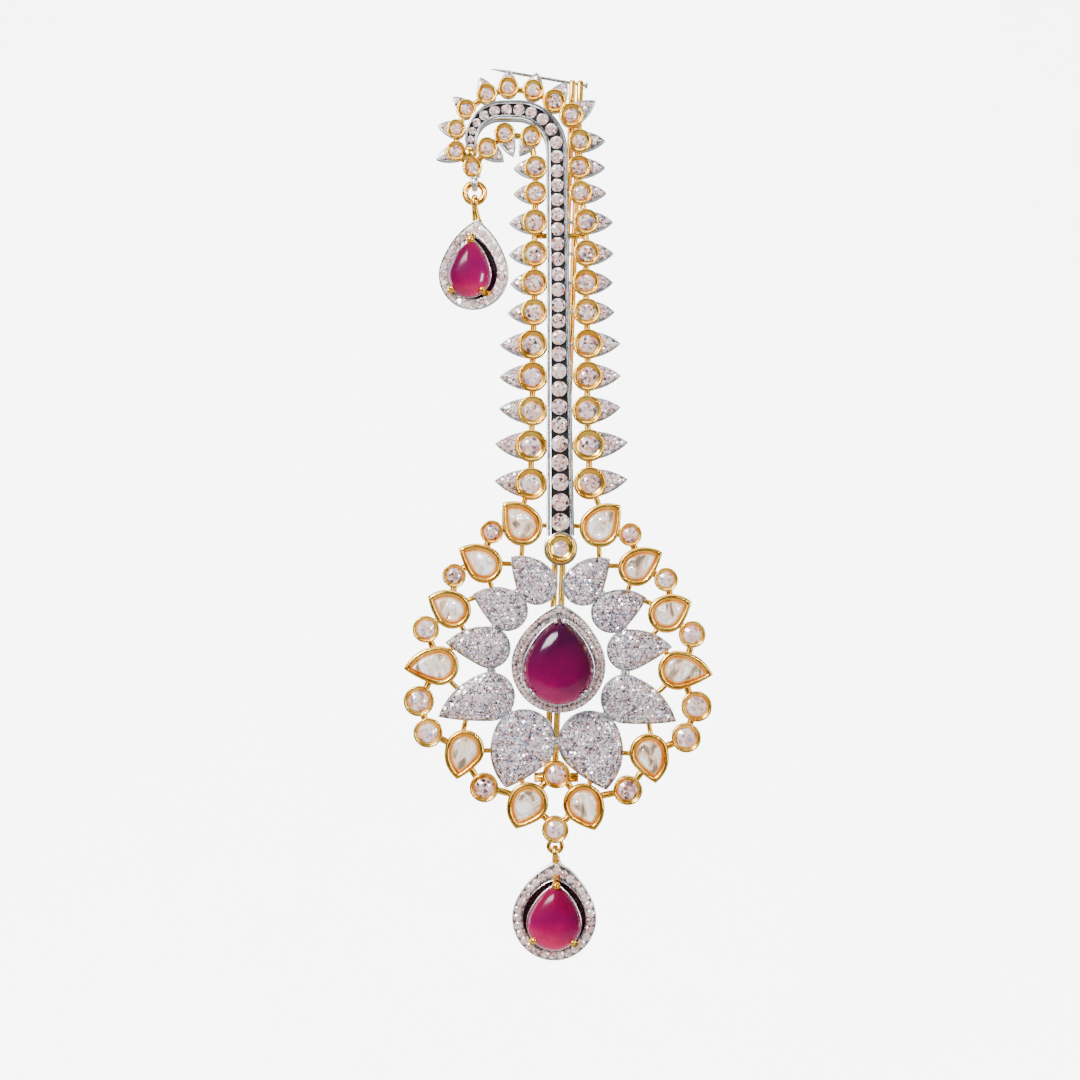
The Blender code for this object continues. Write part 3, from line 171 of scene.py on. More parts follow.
def tube(points, radii, sides=12, flat=1.0):
    # a round bar through points: each ring stands square to the run of the line
    p = np.asarray(points, float)
    r = np.broadcast_to(np.asarray(radii, float), (len(p),))
    run = np.gradient(p, axis=0)
    run /= np.linalg.norm(run, axis=1)[:, None]
    side = np.cross(run, np.where(np.abs(run[:, 1:2]) > 0.9, [[1.0, 0, 0]], [[0, 1.0, 0]]))
    side /= np.linalg.norm(side, axis=1)[:, None]
    up = np.cross(side, run)
    a = math.tau * np.arange(sides) / sides
    rings = p[:, None] + r[:, None, None] * (
        np.cos(a)[None, :, None] * side[:, None] + flat * np.sin(a)[None, :, None] * up[:, None])
    return loft(rings)


def roundedRod(start, end, radius, sides=14):
    # a bar whose ends are domed: radius falls as a quarter circle over the last radius of its length
    start, end = np.asarray(start, float), np.asarray(end, float)
    length = np.linalg.norm(end - start)
    w = (end - start) / length
    t = np.linspace(0, math.pi / 2, 4)
    s = np.concatenate([radius * (1 - np.cos(t)), length - radius * (1 - np.cos(t[::-1]))])
    r = np.concatenate([radius * np.maximum(np.sin(t), 0.12), radius * np.maximum(np.sin(t[::-1]), 0.12)])
    return tube(start + s[:, None] * w, r, sides)


def ringOfWire(centre, depth, radius, wire, edgeOn=False, sides=48, wireSides=14, wide=1.0):
    # a torus in the jewel's plane, or edge on to the front
    turn = math.tau * np.arange(sides)[:, None] / sides
    a = math.tau * np.arange(wireSides)[None] / wireSides
    out = radius + wire * np.cos(a) + 0 * turn
    side = wire * wide * np.sin(a) + 0 * turn
    if edgeOn:
        rings = np.stack([centre[0] + side, -depth + out * np.sin(turn), centre[1] + out * np.cos(turn)], -1)
    else:
        rings = np.stack([centre[0] + out * np.sin(turn), -depth + side, centre[1] + out * np.cos(turn)], -1)
    return loft(rings, closed=True)


def ball(centre, radius, sides=10, levels=6):
    # a small round bead; its poles are closed by small caps
    t = np.linspace(0.12, math.pi - 0.12, levels)[:, None]
    a = math.tau * np.arange(sides)[None] / sides
    rings = np.stack([
        centre[0] + radius * np.sin(t) * np.cos(a), centre[1] + radius * np.cos(t) + 0 * a,
        centre[2] + radius * np.sin(t) * np.sin(a)], -1)
    return loft(rings)


def brilliantCut(table=0.56, crown=0.34):
    # a round brilliant of radius 1 facing +Y: a table split in sixteen, stars, kites, upper facets and girdle
    a8 = math.tau * np.arange(8) / 8
    a16 = math.tau * np.arange(16) / 16

    def ring(a, r, y):
        # points of one radius at the given angles and height
        return np.stack([r * np.cos(a), np.full(len(a), y), r * np.sin(a)], 1)

    half = math.tau / 16
    v = np.concatenate([
        [[0, crown, 0]], ring(a8, table, crown), ring(a8 + half, table * math.cos(half), crown),
        ring(a8 + half, 0.80, crown * 0.52), ring(a16, 1.0, 0.05), ring(a16, 1.0, -0.25)])
    k = np.arange(8)
    n = (k + 1) % 8
    corner, nextCorner, middle, star, lastStar = 1 + k, 1 + n, 9 + k, 17 + k, 17 + (k - 1) % 8
    g = np.arange(16)
    h = (g + 1) % 16
    upper = 25 + 2 * k
    faces = [
        np.stack([0 * k, corner, middle], 1), np.stack([0 * k, middle, nextCorner], 1),
        np.stack([nextCorner, middle, corner, star], 1), np.stack([star, corner, lastStar, upper], 1),
        np.stack([star, upper, upper + 1], 1), np.stack([star, upper + 1, 25 + (2 * k + 2) % 16], 1),
        np.stack([25 + h, 25 + g, 41 + g, 41 + h], 1), (41 + g[::-1])[None]]
    return patch(v, faces)


def smallCut(table=0.58, crown=0.34, sides=8):
    # the pave stone: a table split in eight, one ring of crown facets and a short girdle
    a = math.tau * np.arange(sides) / sides
    v = np.concatenate([
        np.stack([r * np.cos(a), np.full(sides, y), r * np.sin(a)], 1)
        for r, y in ((table, crown), (1.0, 0.0), (0.96, -0.3))] + [[[0, crown, 0]]])
    k = np.arange(sides)
    n = (k + 1) % sides
    bands = [np.stack([low + n, low + k, low + sides + k, low + sides + n], 1) for low in (0, sides)]
    return patch(v, [np.stack([k, n, 0 * k + 3 * sides], 1), *bands, (2 * sides + k[::-1])[None]])


def grainBead():
    # the tiny metal bead between pave stones: two rings and a cap, radius 1, facing +Y
    a = math.tau * np.arange(6) / 6
    levels = ((1.0, -0.6), (0.9, 0.35), (0.4, 0.85))
    return loft([np.stack([r * np.cos(a), np.full(6, y), r * np.sin(a)], 1) for r, y in levels])


def placed(shape, centres, radii, normals, wholeShare=0.28):
    # copies of a small shape: turned so that its +Y is the normal, spun at random, sized and moved
    c = np.asarray(centres, float)
    m = len(c)
    n = np.broadcast_to(np.asarray(normals, float), (m, 3))
    n = n / np.linalg.norm(n, axis=1)[:, None]
    ref = np.where(np.abs(n[:, 2:3]) > 0.9, [[1.0, 0, 0]], [[0, 0, 1.0]])
    s = np.cross(n, ref)
    s /= np.linalg.norm(s, axis=1)[:, None]
    t = np.cross(s, n)
    spin = rng.uniform(0, math.tau, m)[:, None]
    s, t = s * np.cos(spin) + t * np.sin(spin), t * np.cos(spin) - s * np.sin(spin)
    axes = np.stack([s, n, t], 2)
    r = np.broadcast_to(np.asarray(radii, float), (m,))
    v = np.einsum("mij,vj->mvi", axes, shape["v"]) * r[:, None, None] + c[:, None]
    offset = np.arange(m)[:, None, None] * len(shape["v"])
    faces = [(f[None] + offset).reshape(-1, f.shape[1]) for f in shape["f"]]
    # random facet tones, partly shared by the whole stone; the stone materials paint light and dark facets from them
    whole = rng.uniform(0, 1, m)
    tones = []
    for f in shape["f"]:
        facet = rng.uniform(0, 1, (m, len(f)))
        tones.append(((1 - wholeShare) * facet + wholeShare * whole[:, None]).reshape(-1))
    return {"v": v.reshape(-1, 3), "f": faces, "tone": tones}


def makePiece(name, patches, material, body, replaced=(), smooth=True, sharpDeg=38.0):
    # one mesh from many patches, moved to the pin's grip and scaled to metres
    v = np.concatenate([p["v"] for p in patches])
    v = (v - [grip["x"], 0.0, grip["height"]]) * 0.001
    faces, tones, start = [], [], 0
    for p in patches:
        for f, tone in zip(p["f"], p["tone"]):
            faces += (f + start).tolist()
            tones.append(tone)
        start += len(p["v"])
    mesh = bpy.data.meshes.new(name)
    mesh.from_pydata(v.tolist(), [], faces)
    toneLayer = mesh.attributes.new("tone", "FLOAT", "FACE")
    toneLayer.data.foreach_set("value", np.concatenate(tones).astype(np.float32))
    mesh.polygons.foreach_set("use_smooth", np.full(len(faces), smooth))
    mesh.materials.append(material)
    mesh.update()
    if smooth:
        mesh.set_sharp_from_angle(angle=math.radians(sharpDeg))
    piece = bpy.data.objects.new(name, mesh)
    bpy.context.scene.collection.objects.link(piece)
    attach(piece, body)
    if replaced:
        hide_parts(*replaced)
    return piece


def feed(tree, node, values):
    # fills a node's inputs by name or number: a socket is linked, anything else is a fixed value
    for name, value in values.items():
        if isinstance(value, bpy.types.NodeSocket):
            tree.links.new(value, node.inputs[name])
        else:
            node.inputs[name].default_value = value


def addNode(tree, kind, output, values, **settings):
    # one node with its settings and inputs; gives back the output asked for
    node = tree.nodes.new(f"ShaderNode{kind}")
    for name, value in settings.items():
        setattr(node, name, value)
    feed(tree, node, values)
    return node.outputs[output]


def addRamp(tree, value, stops, interpolation="LINEAR"):
    # a colour ramp over a value, with just these stops
    colour = addNode(tree, "ValToRGB", "Color", {"Fac": value})
    ramp = colour.node.color_ramp
    ramp.interpolation = interpolation
    ramp.elements.remove(ramp.elements[1])
    ramp.elements[0].position, ramp.elements[0].color = stops[0][0], (*stops[0][1], 1)
    for position, stop in stops[1:]:
        ramp.elements.new(position).color = (*stop, 1)
    return colour


def mixColours(tree, factor, first, second, **settings):
    # first where the factor is 0, second where it is 1; either may be a plain colour
    pair = [c if isinstance(c, bpy.types.NodeSocket) else (*c, 1) for c in (first, second)]
    values = {"Factor": factor, "A": pair[0], "B": pair[1]}
    return addNode(tree, "Mix", "Result", values, data_type="RGBA", **settings)


def objectPlace(tree):
    # the object's own coordinates, in metres
    return addNode(tree, "TexCoord", "Object", {})


def toneOf(tree):
    # the tone that each face carries
    return addNode(tree, "Attribute", "Fac", {}, attribute_name="tone")


def newGroup(name, inputs, outputs):
    # an empty group with its sockets, and the two nodes that lead in and out
    group = bpy.data.node_groups.new(name, "ShaderNodeTree")
    for label, value in inputs:
        group.interface.new_socket(label, in_out="INPUT", socket_type="NodeSocketFloat").default_value = value
    for label in outputs:
        group.interface.new_socket(label, in_out="OUTPUT", socket_type="NodeSocketFloat")
    return group, group.nodes.new("NodeGroupInput").outputs, group.nodes.new("NodeGroupOutput")


def buildHandWear():
    # hand polish: broad uneven sheen and fine scratches, as a roughness value and a height
    inputs = [("Scale", 900.0), ("Low", 0.12), ("High", 0.3)]
    group, into, out = newGroup("handWear", inputs, ["Roughness", "Height"])
    place = objectPlace(group)
    broad = addNode(group, "TexNoise", "Fac", {"Vector": place, "Scale": into["Scale"], "Detail": 4.0})
    rough = addNode(group, "MapRange", "Result", {
        "Value": broad, "From Min": 0.3, "From Max": 0.7, "To Min": into["Low"], "To Max": into["High"]})
    fine = addNode(group, "TexNoise", "Fac", {"Vector": place, "Scale": 5200.0, "Detail": 2.0})
    height = addNode(group, "Math", "Value", {0: fine, 1: 0.25, 2: broad}, operation="MULTIPLY_ADD")
    feed(group, out, {"Roughness": rough, "Height": height})
    return group


def buildPaintedRecessShade():
    # a painted shade mask: 0 in the recesses, where the shadow colour is painted, and 1 at the front, by depth with
    # a broken edge; the polished backs are 1 too
    group, into, out = newGroup("paintedRecessShade", [("Deep", 0.0022), ("Front", 0.0044)], ["Front Mask"])
    place = objectPlace(group)
    y = addNode(group, "SeparateXYZ", "Y", {"Vector": place})
    noise = addNode(group, "TexNoise", "Fac", {"Vector": place, "Scale": 1400.0})
    shift = addNode(group, "Math", "Value", {0: noise, 1: 0.0009, 2: -0.00045}, operation="MULTIPLY_ADD")
    depth = addNode(group, "Math", "Value", {0: y, 1: -1.0, 2: shift}, operation="MULTIPLY_ADD")
    front = addNode(group, "MapRange", "Result", {
        "Value": depth, "From Min": into["Deep"], "From Max": into["Front"]}, interpolation_type="SMOOTHSTEP")
    bare = addNode(group, "Math", "Value", {0: y, 1: -1.0}, operation="MULTIPLY")
    back = addNode(group, "MapRange", "Result", {"Value": bare, "From Min": 0.0022, "From Max": 0.0020})
    feed(group, out, {"Front Mask": addNode(group, "Math", "Value", {0: front, 1: back}, operation="MAXIMUM")})
    return group


handWear = buildHandWear()
paintedRecessShade = buildPaintedRecessShade()


def newMaterial(name):
    # a new node material, its tree and its shader
    material = bpy.data.materials.new(name)
    material.use_nodes = True
    return material, material.node_tree, material.node_tree.nodes["Principled BSDF"]


def metalMaterial(name, look):
    # two alloy hues in patches, with painted shade in the recesses and on faces whose tone is 0, with hand wear
    material, tree, shader = newMaterial(name)
    mask = addNode(tree, "Group", "Front Mask", {
        "Deep": look["deep"] * 0.001, "Front": look["front"] * 0.001}, node_tree=paintedRecessShade)
    patchy = addNode(tree, "TexNoise", "Fac", {"Vector": objectPlace(tree), "Scale": look["patch"]})
    spread = addNode(tree, "MapRange", "Result", {"Value": patchy, "From Min": 0.4, "From Max": 0.6})
    colour = mixColours(tree, mask, look["shadow"], mixColours(tree, spread, look["colour"], look["second"]))
    # painted shade on faces of tone 0: the metal colour is multiplied down to the look's bed value
    paintedBedShade = addNode(tree, "MapRange", "Result", {"Value": toneOf(tree), "From Max": 0.4, "To Min": look["bed"]})
    wear = addNode(tree, "Group", "Roughness", {
        "Scale": look["wearScale"], "Low": look["rough"][0], "High": look["rough"][1]}, node_tree=handWear)
    normal = addNode(tree, "Bump", "Normal", {
        "Strength": look["bump"], "Distance": 0.00004, "Height": wear.node.outputs["Height"]})
    feed(tree, shader, {
        "Base Color": mixColours(tree, 1.0, colour, paintedBedShade, blend_type="MULTIPLY"), "Metallic": 1.0,
        "Roughness": wear, "Normal": normal})
    return material


def stoneMaterial(name, look):
    # each facet has its own tone of painted light, so a stone shows dark, grey, blush and white facets for
    # reflections and coloured ones for fire, as a lit diamond does
    material, tree, shader = newMaterial(name)
    feed(tree, shader, {
        "Base Color": addRamp(tree, toneOf(tree), look["facets"], "CONSTANT"), "Metallic": look["metallic"],
        "Roughness": look["rough"], "IOR": look["ior"], "Coat Weight": look["coat"], "Coat Roughness": 0.02})
    return material


def rubyMaterial(name, look):
    # a painted glow of inner light that gathers low in the stone, by height and a soft noise, and a faint emission,
    # under a clear polished face
    material, tree, shader = newMaterial(name)
    place = objectPlace(tree)
    z = addNode(tree, "SeparateXYZ", "Z", {"Vector": place})
    height = addNode(tree, "MapRange", "Result", {
        "Value": z, "From Min": look["low"] * 0.001, "From Max": look["high"] * 0.001})
    noise = addNode(tree, "TexNoise", "Fac", {"Vector": place, "Scale": 260.0, "Detail": 3.0})
    level = addNode(tree, "Math", "Value", {0: noise, 1: 0.5, 2: height}, operation="MULTIPLY_ADD")
    colour = addRamp(tree, level, look["stops"])
    feed(tree, shader, {
        "Base Color": colour, "Roughness": look["rough"], "IOR": look["ior"], "Emission Color": colour,
        "Emission Strength": look["glow"]})
    return material


def polkiMaterial(name, look):
    # uncut diamond over foil: grey, peach and white streaks of painted reflection and the stone's own clouding under
    # a wet polish, a faint painted glow, and a painted reflection of the gold on its rim
    material, tree, shader = newMaterial(name)
    slanted = addNode(tree, "Mapping", "Vector", {
        "Vector": objectPlace(tree), "Rotation": (0.0, look["slant"], 0.0), "Scale": look["stretch"]})
    cloud = addNode(tree, "TexNoise", "Fac", {
        "Vector": slanted, "Scale": look["cloudScale"], "Detail": 2.5, "Distortion": 1.6})
    inner = addNode(tree, "MapRange", "Result", {"Value": toneOf(tree), "From Max": 0.4, "To Min": 0.25})
    colour = mixColours(tree, inner, look["edge"], addRamp(tree, cloud, look["stops"]))
    normal = addNode(tree, "Bump", "Normal", {"Strength": look["bump"], "Distance": 0.0004, "Height": cloud})
    feed(tree, shader, {
        "Base Color": colour, "Emission Color": colour, "Emission Strength": look["glow"], "Normal": normal,
        "Metallic": look["metallic"], "Roughness": look["rough"], "Coat Weight": 1.0, "Coat Roughness": 0.02})
    return material


# the shadow colours are painted shade in the recesses; bed scales the painted shade on faces whose tone is 0
goldLook = {
    "colour": (1.0, 0.47, 0.045), "second": (1.0, 0.62, 0.10), "patch": 260.0, "shadow": (0.66, 0.38, 0.03),
    "deep": 2.2, "front": 4.0, "bed": 0.3, "rough": (0.15, 0.30), "wearScale": 700.0, "bump": 0.35}
whiteLook = {
    "colour": (0.86, 0.83, 0.83), "second": (0.74, 0.76, 0.80), "patch": 300.0, "shadow": (0.26, 0.26, 0.25),
    "deep": 2.2, "front": 3.4, "bed": 0.6, "rough": (0.20, 0.34), "wearScale": 900.0, "bump": 0.2}
haloLook = {**whiteLook, "bed": 0.06}
channelLook = {**whiteLook, "bed": 0.16, "rough": (0.12, 0.26)}
# painted light: the facet colours stand for reflections in dark, grey, blush and white, and for fire in blue, orange
# and violet
paveLook = {
    "facets": [
        (0.0, (0.01, 0.01, 0.015)), (0.21, (0.09, 0.09, 0.12)), (0.30, (0.62, 0.27, 0.27)),
        (0.38, (0.26, 0.28, 0.40)), (0.47, (1.0, 0.64, 0.60)), (0.60, (0.60, 0.62, 0.84)),
        (0.70, (1.0, 0.96, 0.96)), (0.92, (0.24, 0.32, 0.85)), (0.955, (0.9, 0.35, 0.2)),
        (0.975, (0.5, 0.35, 0.9))],
    "metallic": 0.2, "rough": 0.06, "ior": 2.2, "coat": 1.0}
pinLook = {**goldLook, "deep": -2.0, "front": 0.1, "colour": (0.9, 0.48, 0.10), "shadow": (0.5, 0.3, 0.08)}
steelLook = {**whiteLook, "deep": -2.0, "front": 0.1, "colour": (0.5, 0.5, 0.48), "second": (0.42, 0.42, 0.40)}
# painted light as for the pave: reflections and fire painted facet by facet
diamondLook = {
    "facets": [
        (0.0, (0.03, 0.025, 0.03)), (0.09, (0.22, 0.12, 0.13)), (0.19, (0.72, 0.30, 0.24)),
        (0.30, (0.42, 0.30, 0.36)), (0.38, (1.0, 0.58, 0.48)), (0.55, (0.86, 0.66, 0.70)),
        (0.63, (1.0, 0.90, 0.87)), (0.91, (0.28, 0.36, 0.90)), (0.935, (1.0, 0.50, 0.15)),
        (0.97, (0.64, 0.40, 0.88))],
    "metallic": 0.2, "rough": 0.06, "ior": 2.2, "coat": 1.0}
# rubies: the stops paint inner light, bright low in the stone and dark high, and glow is a faint emission
rubyLook = {
    "low": -60.0, "high": -44.0, "rough": 0.13, "glow": 0.05, "ior": 1.5,
    "stops": [(0.2, (0.44, 0.0, 0.09)), (0.6, (0.22, 0.0, 0.07)), (1.0, (0.07, 0.0, 0.04))]}
hookRubyLook = {**rubyLook, "low": 3.0, "high": 12.5, "rough": 0.2, "ior": 1.4, "stops": [
    (0.2, (0.40, 0.0, 0.05)), (0.5, (0.18, 0.0, 0.05)), (0.8, (0.13, 0.0, 0.05)), (1.0, (0.18, 0.0, 0.045))]}
lowerRubyLook = {**hookRubyLook, "low": -95.0, "high": -85.0, "stops": [
    (0.2, (0.80, 0.0, 0.08)), (0.5, (0.46, 0.0, 0.085)), (0.8, (0.26, 0.0, 0.08)), (1.0, (0.30, 0.0, 0.06))]}
# polki: edge is the painted reflection of the gold on the stone's rim, glow a faint painted emission, and the stops
# paint light and dark streaks
polkiLook = {
    "draw": 1.15, "cloudScale": 330.0, "slant": 0.6, "stretch": (1.3, 1.0, 0.55), "metallic": 0.1,
    "rough": 0.1, "bump": 0.7, "glow": 0.12, "edge": (0.72, 0.34, 0.07), "stops": [
        (0.36, (0.20, 0.15, 0.10)), (0.43, (0.50, 0.38, 0.28)), (0.47, (1.0, 0.60, 0.40)), (0.51, (1.0, 0.90, 0.78)),
        (0.55, (0.55, 0.48, 0.42)), (0.60, (1.0, 0.97, 0.93))]}

gold = metalMaterial("polishedGold", goldLook)
whiteGold = metalMaterial("whiteGold", whiteLook)
channelMetal = metalMaterial("channelWhiteGold", channelLook)
haloMetal = metalMaterial("haloWhiteGold", haloLook)
pinGold = metalMaterial("pinGold", pinLook)
steel = metalMaterial("pinSteel", steelLook)
diamond = stoneMaterial("brilliantDiamond", diamondLook)
paveDiamond = stoneMaterial("paveDiamond", paveLook)
ruby = rubyMaterial("raspberryRuby", rubyLook)
hookRuby = rubyMaterial("crimsonRubyHook", hookRubyLook)
lowerRuby = rubyMaterial("crimsonRubyLower", lowerRubyLook)
polki = polkiMaterial("polkiDiamond", polkiLook)
print("kalgi: materials ready")


stem = {
    "length": 59.9, "lean": 0.56, "firstTurn": 6.0, "flat": 2.25, "secondTurn": 4.65, "tail": 1.5,
    "footWidth": 4.1, "thickness": 2.5, "floorDrop": 0.75, "start": 1.95, "stoneFill": 1.0, "pitch": 1.11,
    "rail": (0.40, 0.15), "railShare": 0.42, "swell": ((0.0, 0.3, 0.7, 1.0), (1.02, 1.05, 1.12, 1.16)),
    "widths": [
        (0.0, 1.0), (0.05, 0.99), (0.31, 0.86), (0.46, 0.77), (0.65, 0.71), (0.75, 0.69), (0.9, 0.59), (1.0, 0.3)]}
stemRuns = [
    (stem["length"], None), (stem["firstTurn"] * math.pi / 2, stem["firstTurn"]), (stem["flat"], None),
    (stem["secondTurn"] * math.pi / 2, stem["secondTurn"]), (stem["tail"], None)]
stemWhole = sum(length for length, turn in stemRuns)


def pathAt(distance):
    # the channel's middle line: straight, quarter turn, flat, quarter turn, tail; with its right-hand side
    s = np.atleast_1d(np.asarray(distance, float))
    x, z = np.zeros_like(s), np.zeros_like(s)
    heading = np.full_like(s, math.radians(90 + stem["lean"]))
    left = s.copy()
    for length, turn in stemRuns:
        step = np.clip(left, 0, length)
        if turn is None:
            x, z = x + step * np.cos(heading), z + step * np.sin(heading)
        else:
            turned = heading + step / turn
            x, z = x + turn * (np.sin(turned) - np.sin(heading)), z - turn * (np.cos(turned) - np.cos(heading))
            heading = turned
        left = left - length
    return np.stack([x, z], 1), np.stack([np.sin(heading), -np.cos(heading)], 1)


def channelWidth(distance):
    # the foot's width times the listed share, read between the shares of the whole run
    shares, widths = zip(*stem["widths"])
    return stem["footWidth"] * np.interp(np.asarray(distance) / stemWhole, shares, widths)


def channelHalf(distance):
    # half the channel's drawn width, a little fuller towards the hook
    s = np.asarray(distance, float)
    return channelWidth(s) / 2 * np.interp(s / stemWhole, *stem["swell"])


def railWidth(half):
    # the rails narrow slowly up the stem, and quickly towards the hook's end
    return np.minimum(stem["rail"][0] + stem["rail"][1] * half, stem["railShare"] * half)


def channelPatch():
    # the U section carried along the path, its rails rounded over
    along = np.linspace(stem["start"], stem["length"], 24)
    s = np.concatenate([along, np.linspace(stem["length"], stemWhole, 61)[1:]])
    point, right = pathAt(s)
    half = channelHalf(s)
    top = backDepth + stem["thickness"]
    rail = railWidth(half)
    section = (                                    # (share of the rail's width from outside, depth)
        (0.0, backDepth), (0.0, top - 0.16), (0.08, top - 0.03), (0.22, top), (0.34, top - 0.05), (0.42, top - 0.22),
        (0.58, top - 0.22), (0.66, top - 0.06), (0.80, top), (0.95, top - 0.05), (1.0, top - 0.16),
        (1.0, top - stem["floorDrop"]))
    profile = [(-1, *row) for row in section] + [(1, *row) for row in section[::-1]]
    rings = []
    for side, share, depth in profile:
        line = point + (side * (half - rail * share))[:, None] * right
        rings.append(atDepth(line, depth))
    channel = loft(np.stack(rings, 1))
    channel["tone"][0].reshape(len(s) - 1, -1)[:, 10:13] = 0.0     # its floor, given tone 0 for painted shade
    return channel


def channelStones():
    # a line of stones, each nearly as wide as the slot where it sits
    centres, radii, s = [], [], stem["start"] + 2.0
    while s < stemWhole - 0.3:
        half = float(channelHalf(s))
        slot = half - float(railWidth(half))
        point, right = pathAt(s)
        centres.append((point[0, 0], -(backDepth + stem["thickness"] - 0.26), point[0, 1]))
        radii.append(slot * stem["stoneFill"])
        s += stem["pitch"] * 2 * slot
    return placed(brilliantCut(), centres, radii, (0, -1, 0), 0.15)


def packedPoints(outline, margin, spacing, turns=36):
    # a hexagonal field inside the outline, pushed apart and back inside until no two stones crowd
    low, high = outline.min(0), outline.max(0)
    xs, zs = np.meshgrid(np.arange(low[0], high[0], spacing), np.arange(low[1], high[1], spacing * 0.866))
    xs = xs + (np.arange(xs.shape[0]) % 2)[:, None] * spacing / 2
    p = np.stack([xs.ravel(), zs.ravel()], 1) + rng.uniform(-0.1, 0.1, (xs.size, 2))
    p = p[isInside(p, outline)]
    d, _ = edgeDistance(p, outline)
    p = p[d > margin * 0.62]
    for _ in range(turns):
        gap = p[:, None] - p[None]
        distance = np.linalg.norm(gap, axis=2) + np.eye(len(p)) * 9
        p = p + (gap / distance[..., None] * np.clip(spacing - distance, 0, None)[..., None]).sum(1) * 0.3
        d, inward = edgeDistance(p, outline)
        inside = np.where(isInside(p, outline), 1.0, -1.0)
        p = p + inward * inside[:, None] * np.clip(margin - d * inside, 0, spacing)[:, None]
    gap = np.linalg.norm(p[:, None] - p[None], axis=2) + np.eye(len(p)) * 9
    return p, gap.min(1) / 2


def domeRise(inset, deepest, look):
    # the dome's depth: from its edge it climbs as a parabola to the deepest inset
    return look["edge"] + look["dome"] * (1 - (1 - np.clip(inset / deepest, 0, 1)) ** 2)


def pavedDome(rim, deepest, look, chosen=None):
    # stones packed over a dome and set square to it, each a little askew
    size, (margin, pitch), (grow, least, most) = look["stone"], look["pack"], look["grow"]
    points, room = packedPoints(rim, look["rim"] + size * margin, size * pitch)
    if chosen:
        keep = chosen(points)
        points, room = points[keep], room[keep]
    d, inward = edgeDistance(points, rim)
    slope = look["dome"] * 2 * (1 - np.clip(d / deepest, 0, 1)) / deepest
    normal = np.stack([-slope * inward[:, 0], -np.ones(len(d)), -slope * inward[:, 1]], 1)
    normal = normal + rng.normal(0, look["jitter"], normal.shape)
    centres = np.stack([points[:, 0], -(domeRise(d, deepest, look) - look["sink"]), points[:, 1]], 1)
    return centres, np.clip(room * grow, size * least, size * most), normal


plume = {
    "bezel": 2.25, "thickness": 2.3, "wall": 0.45, "crestWall": 0.52, "swell": 1.10, "taper": 0.9,
    "linkWidth": 0.85, "barWidth": 0.8, "linkDepth": backDepth + 1.0, "barAt": 0.786, "bite": 0.1,
    "peg": 0.3, "pegPlace": -3.35, "clear": 0.15}
leaf = {   # the small leaves' section, and their stones: spacing, size against the room there is, and tilt
    "back": backDepth + 0.15, "edge": backDepth + 0.15 + 1.5, "dome": 0.45, "flank": 0.62, "stone": 0.41,
    "rim": 0.14, "pack": (0.86, 1.84), "grow": (1.06, 0.7, 1.05), "sink": 0.02, "jitter": 0.14}
bezelRows = [   # share of stem, bezel share, space on the right, left reach, right reach, lift in degrees
    (0.163, 1.00, 0.12, 2.46, 2.56, 5.5), (0.258, 1.00, 0.11, 2.42, 2.65, 4.0), (0.346, 0.92, 0.14, 2.45, 2.46, 5.0),
    (0.431, 0.92, 0.24, 2.43, 2.42, 1.0), (0.512, 0.92, 0.31, 2.40, 2.38, 1.0), (0.593, 0.84, 0.40, 2.12, 2.24, 0.0),
    (0.667, 0.83, 0.40, 1.94, 2.20, 0.0), (0.740, 0.81, 0.52, 2.13, 2.26, 0.0), (0.819, 0.79, 0.56, 2.17, 2.33, 0.0),
    (0.892, 0.72, 0.28, 2.05, 2.42, 0.0), (0.956, 0.72, 0.17, 2.03, 2.44, 0.0)]
crestBezels = [  # share of hook, side, bezel share, space, reach, turn in degrees
    (0.040, 1, 0.73, 0.30, 2.36, -6.5), (0.164, 1, 0.75, 0.40, 2.58, -1.0), (0.266, 1, 0.73, 0.18, 2.17, 5.0),
    (0.379, 1, 0.67, 0.34, 1.91, 3.0), (0.519, 1, 0.64, 0.50, 1.96, -2.0), (0.637, 1, 0.64, 0.14, 1.95, 4.0),
    (0.757, 1, 0.60, 0.14, 2.13, -1.0), (0.864, 1, 0.59, 0.20, 2.20, 3.0), (0.995, 1, 0.62, 0.15, 2.30, 20.0),
    (0.975, -1, 0.66, 0.20, 2.11, -36.0), (0.549, -1, 0.64, 0.54, 2.48, 21.0), (0.220, -1, 0.66, 0.15, 2.19, 13.0)]


def bezelBeside(distance, side, radius, space):
    # a bezel's centre beside the channel: half the width, the clear space, then its radius
    point, right = pathAt(distance)
    offset = float(channelWidth(distance)) / 2 + max(space * radius, plume["clear"]) + radius
    outward = side * right[0]
    return point[0] + outward * offset, outward


def rowPlaces(side):
    # centre, outward direction, radius and leaf reach of each bezel of one row
    places = []
    for height, share, space, leftReach, rightReach, lift in bezelRows:
        r = plume["bezel"] * share
        centre, outward = bezelBeside(height * stem["length"], side, r, space if side > 0 else 0.0)
        places.append((centre, rotated(outward, -side * lift), r, rightReach if side > 0 else leftReach))
    return places


def crestPlaces():
    # the same for the bezels round the hook
    places = []
    for share, side, radiusShare, space, reach, turn in crestBezels:
        r = plume["bezel"] * radiusShare
        centre, outward = bezelBeside(stem["length"] + share * (stemWhole - stem["length"]), side, r, space)
        places.append((centre, rotated(outward, -turn), r, reach))
    return places


def endBezel():
    # the last bezel, straight on past the hook's end
    point, right = pathAt(stemWhole)
    along = np.array([-right[0, 1], right[0, 0]])
    r = plume["bezel"] * 0.67
    return np.array([point[0, 0] + along[0] * r * 1.55 + 0.2, point[0, 1] + along[1] * r * 1.55]), r


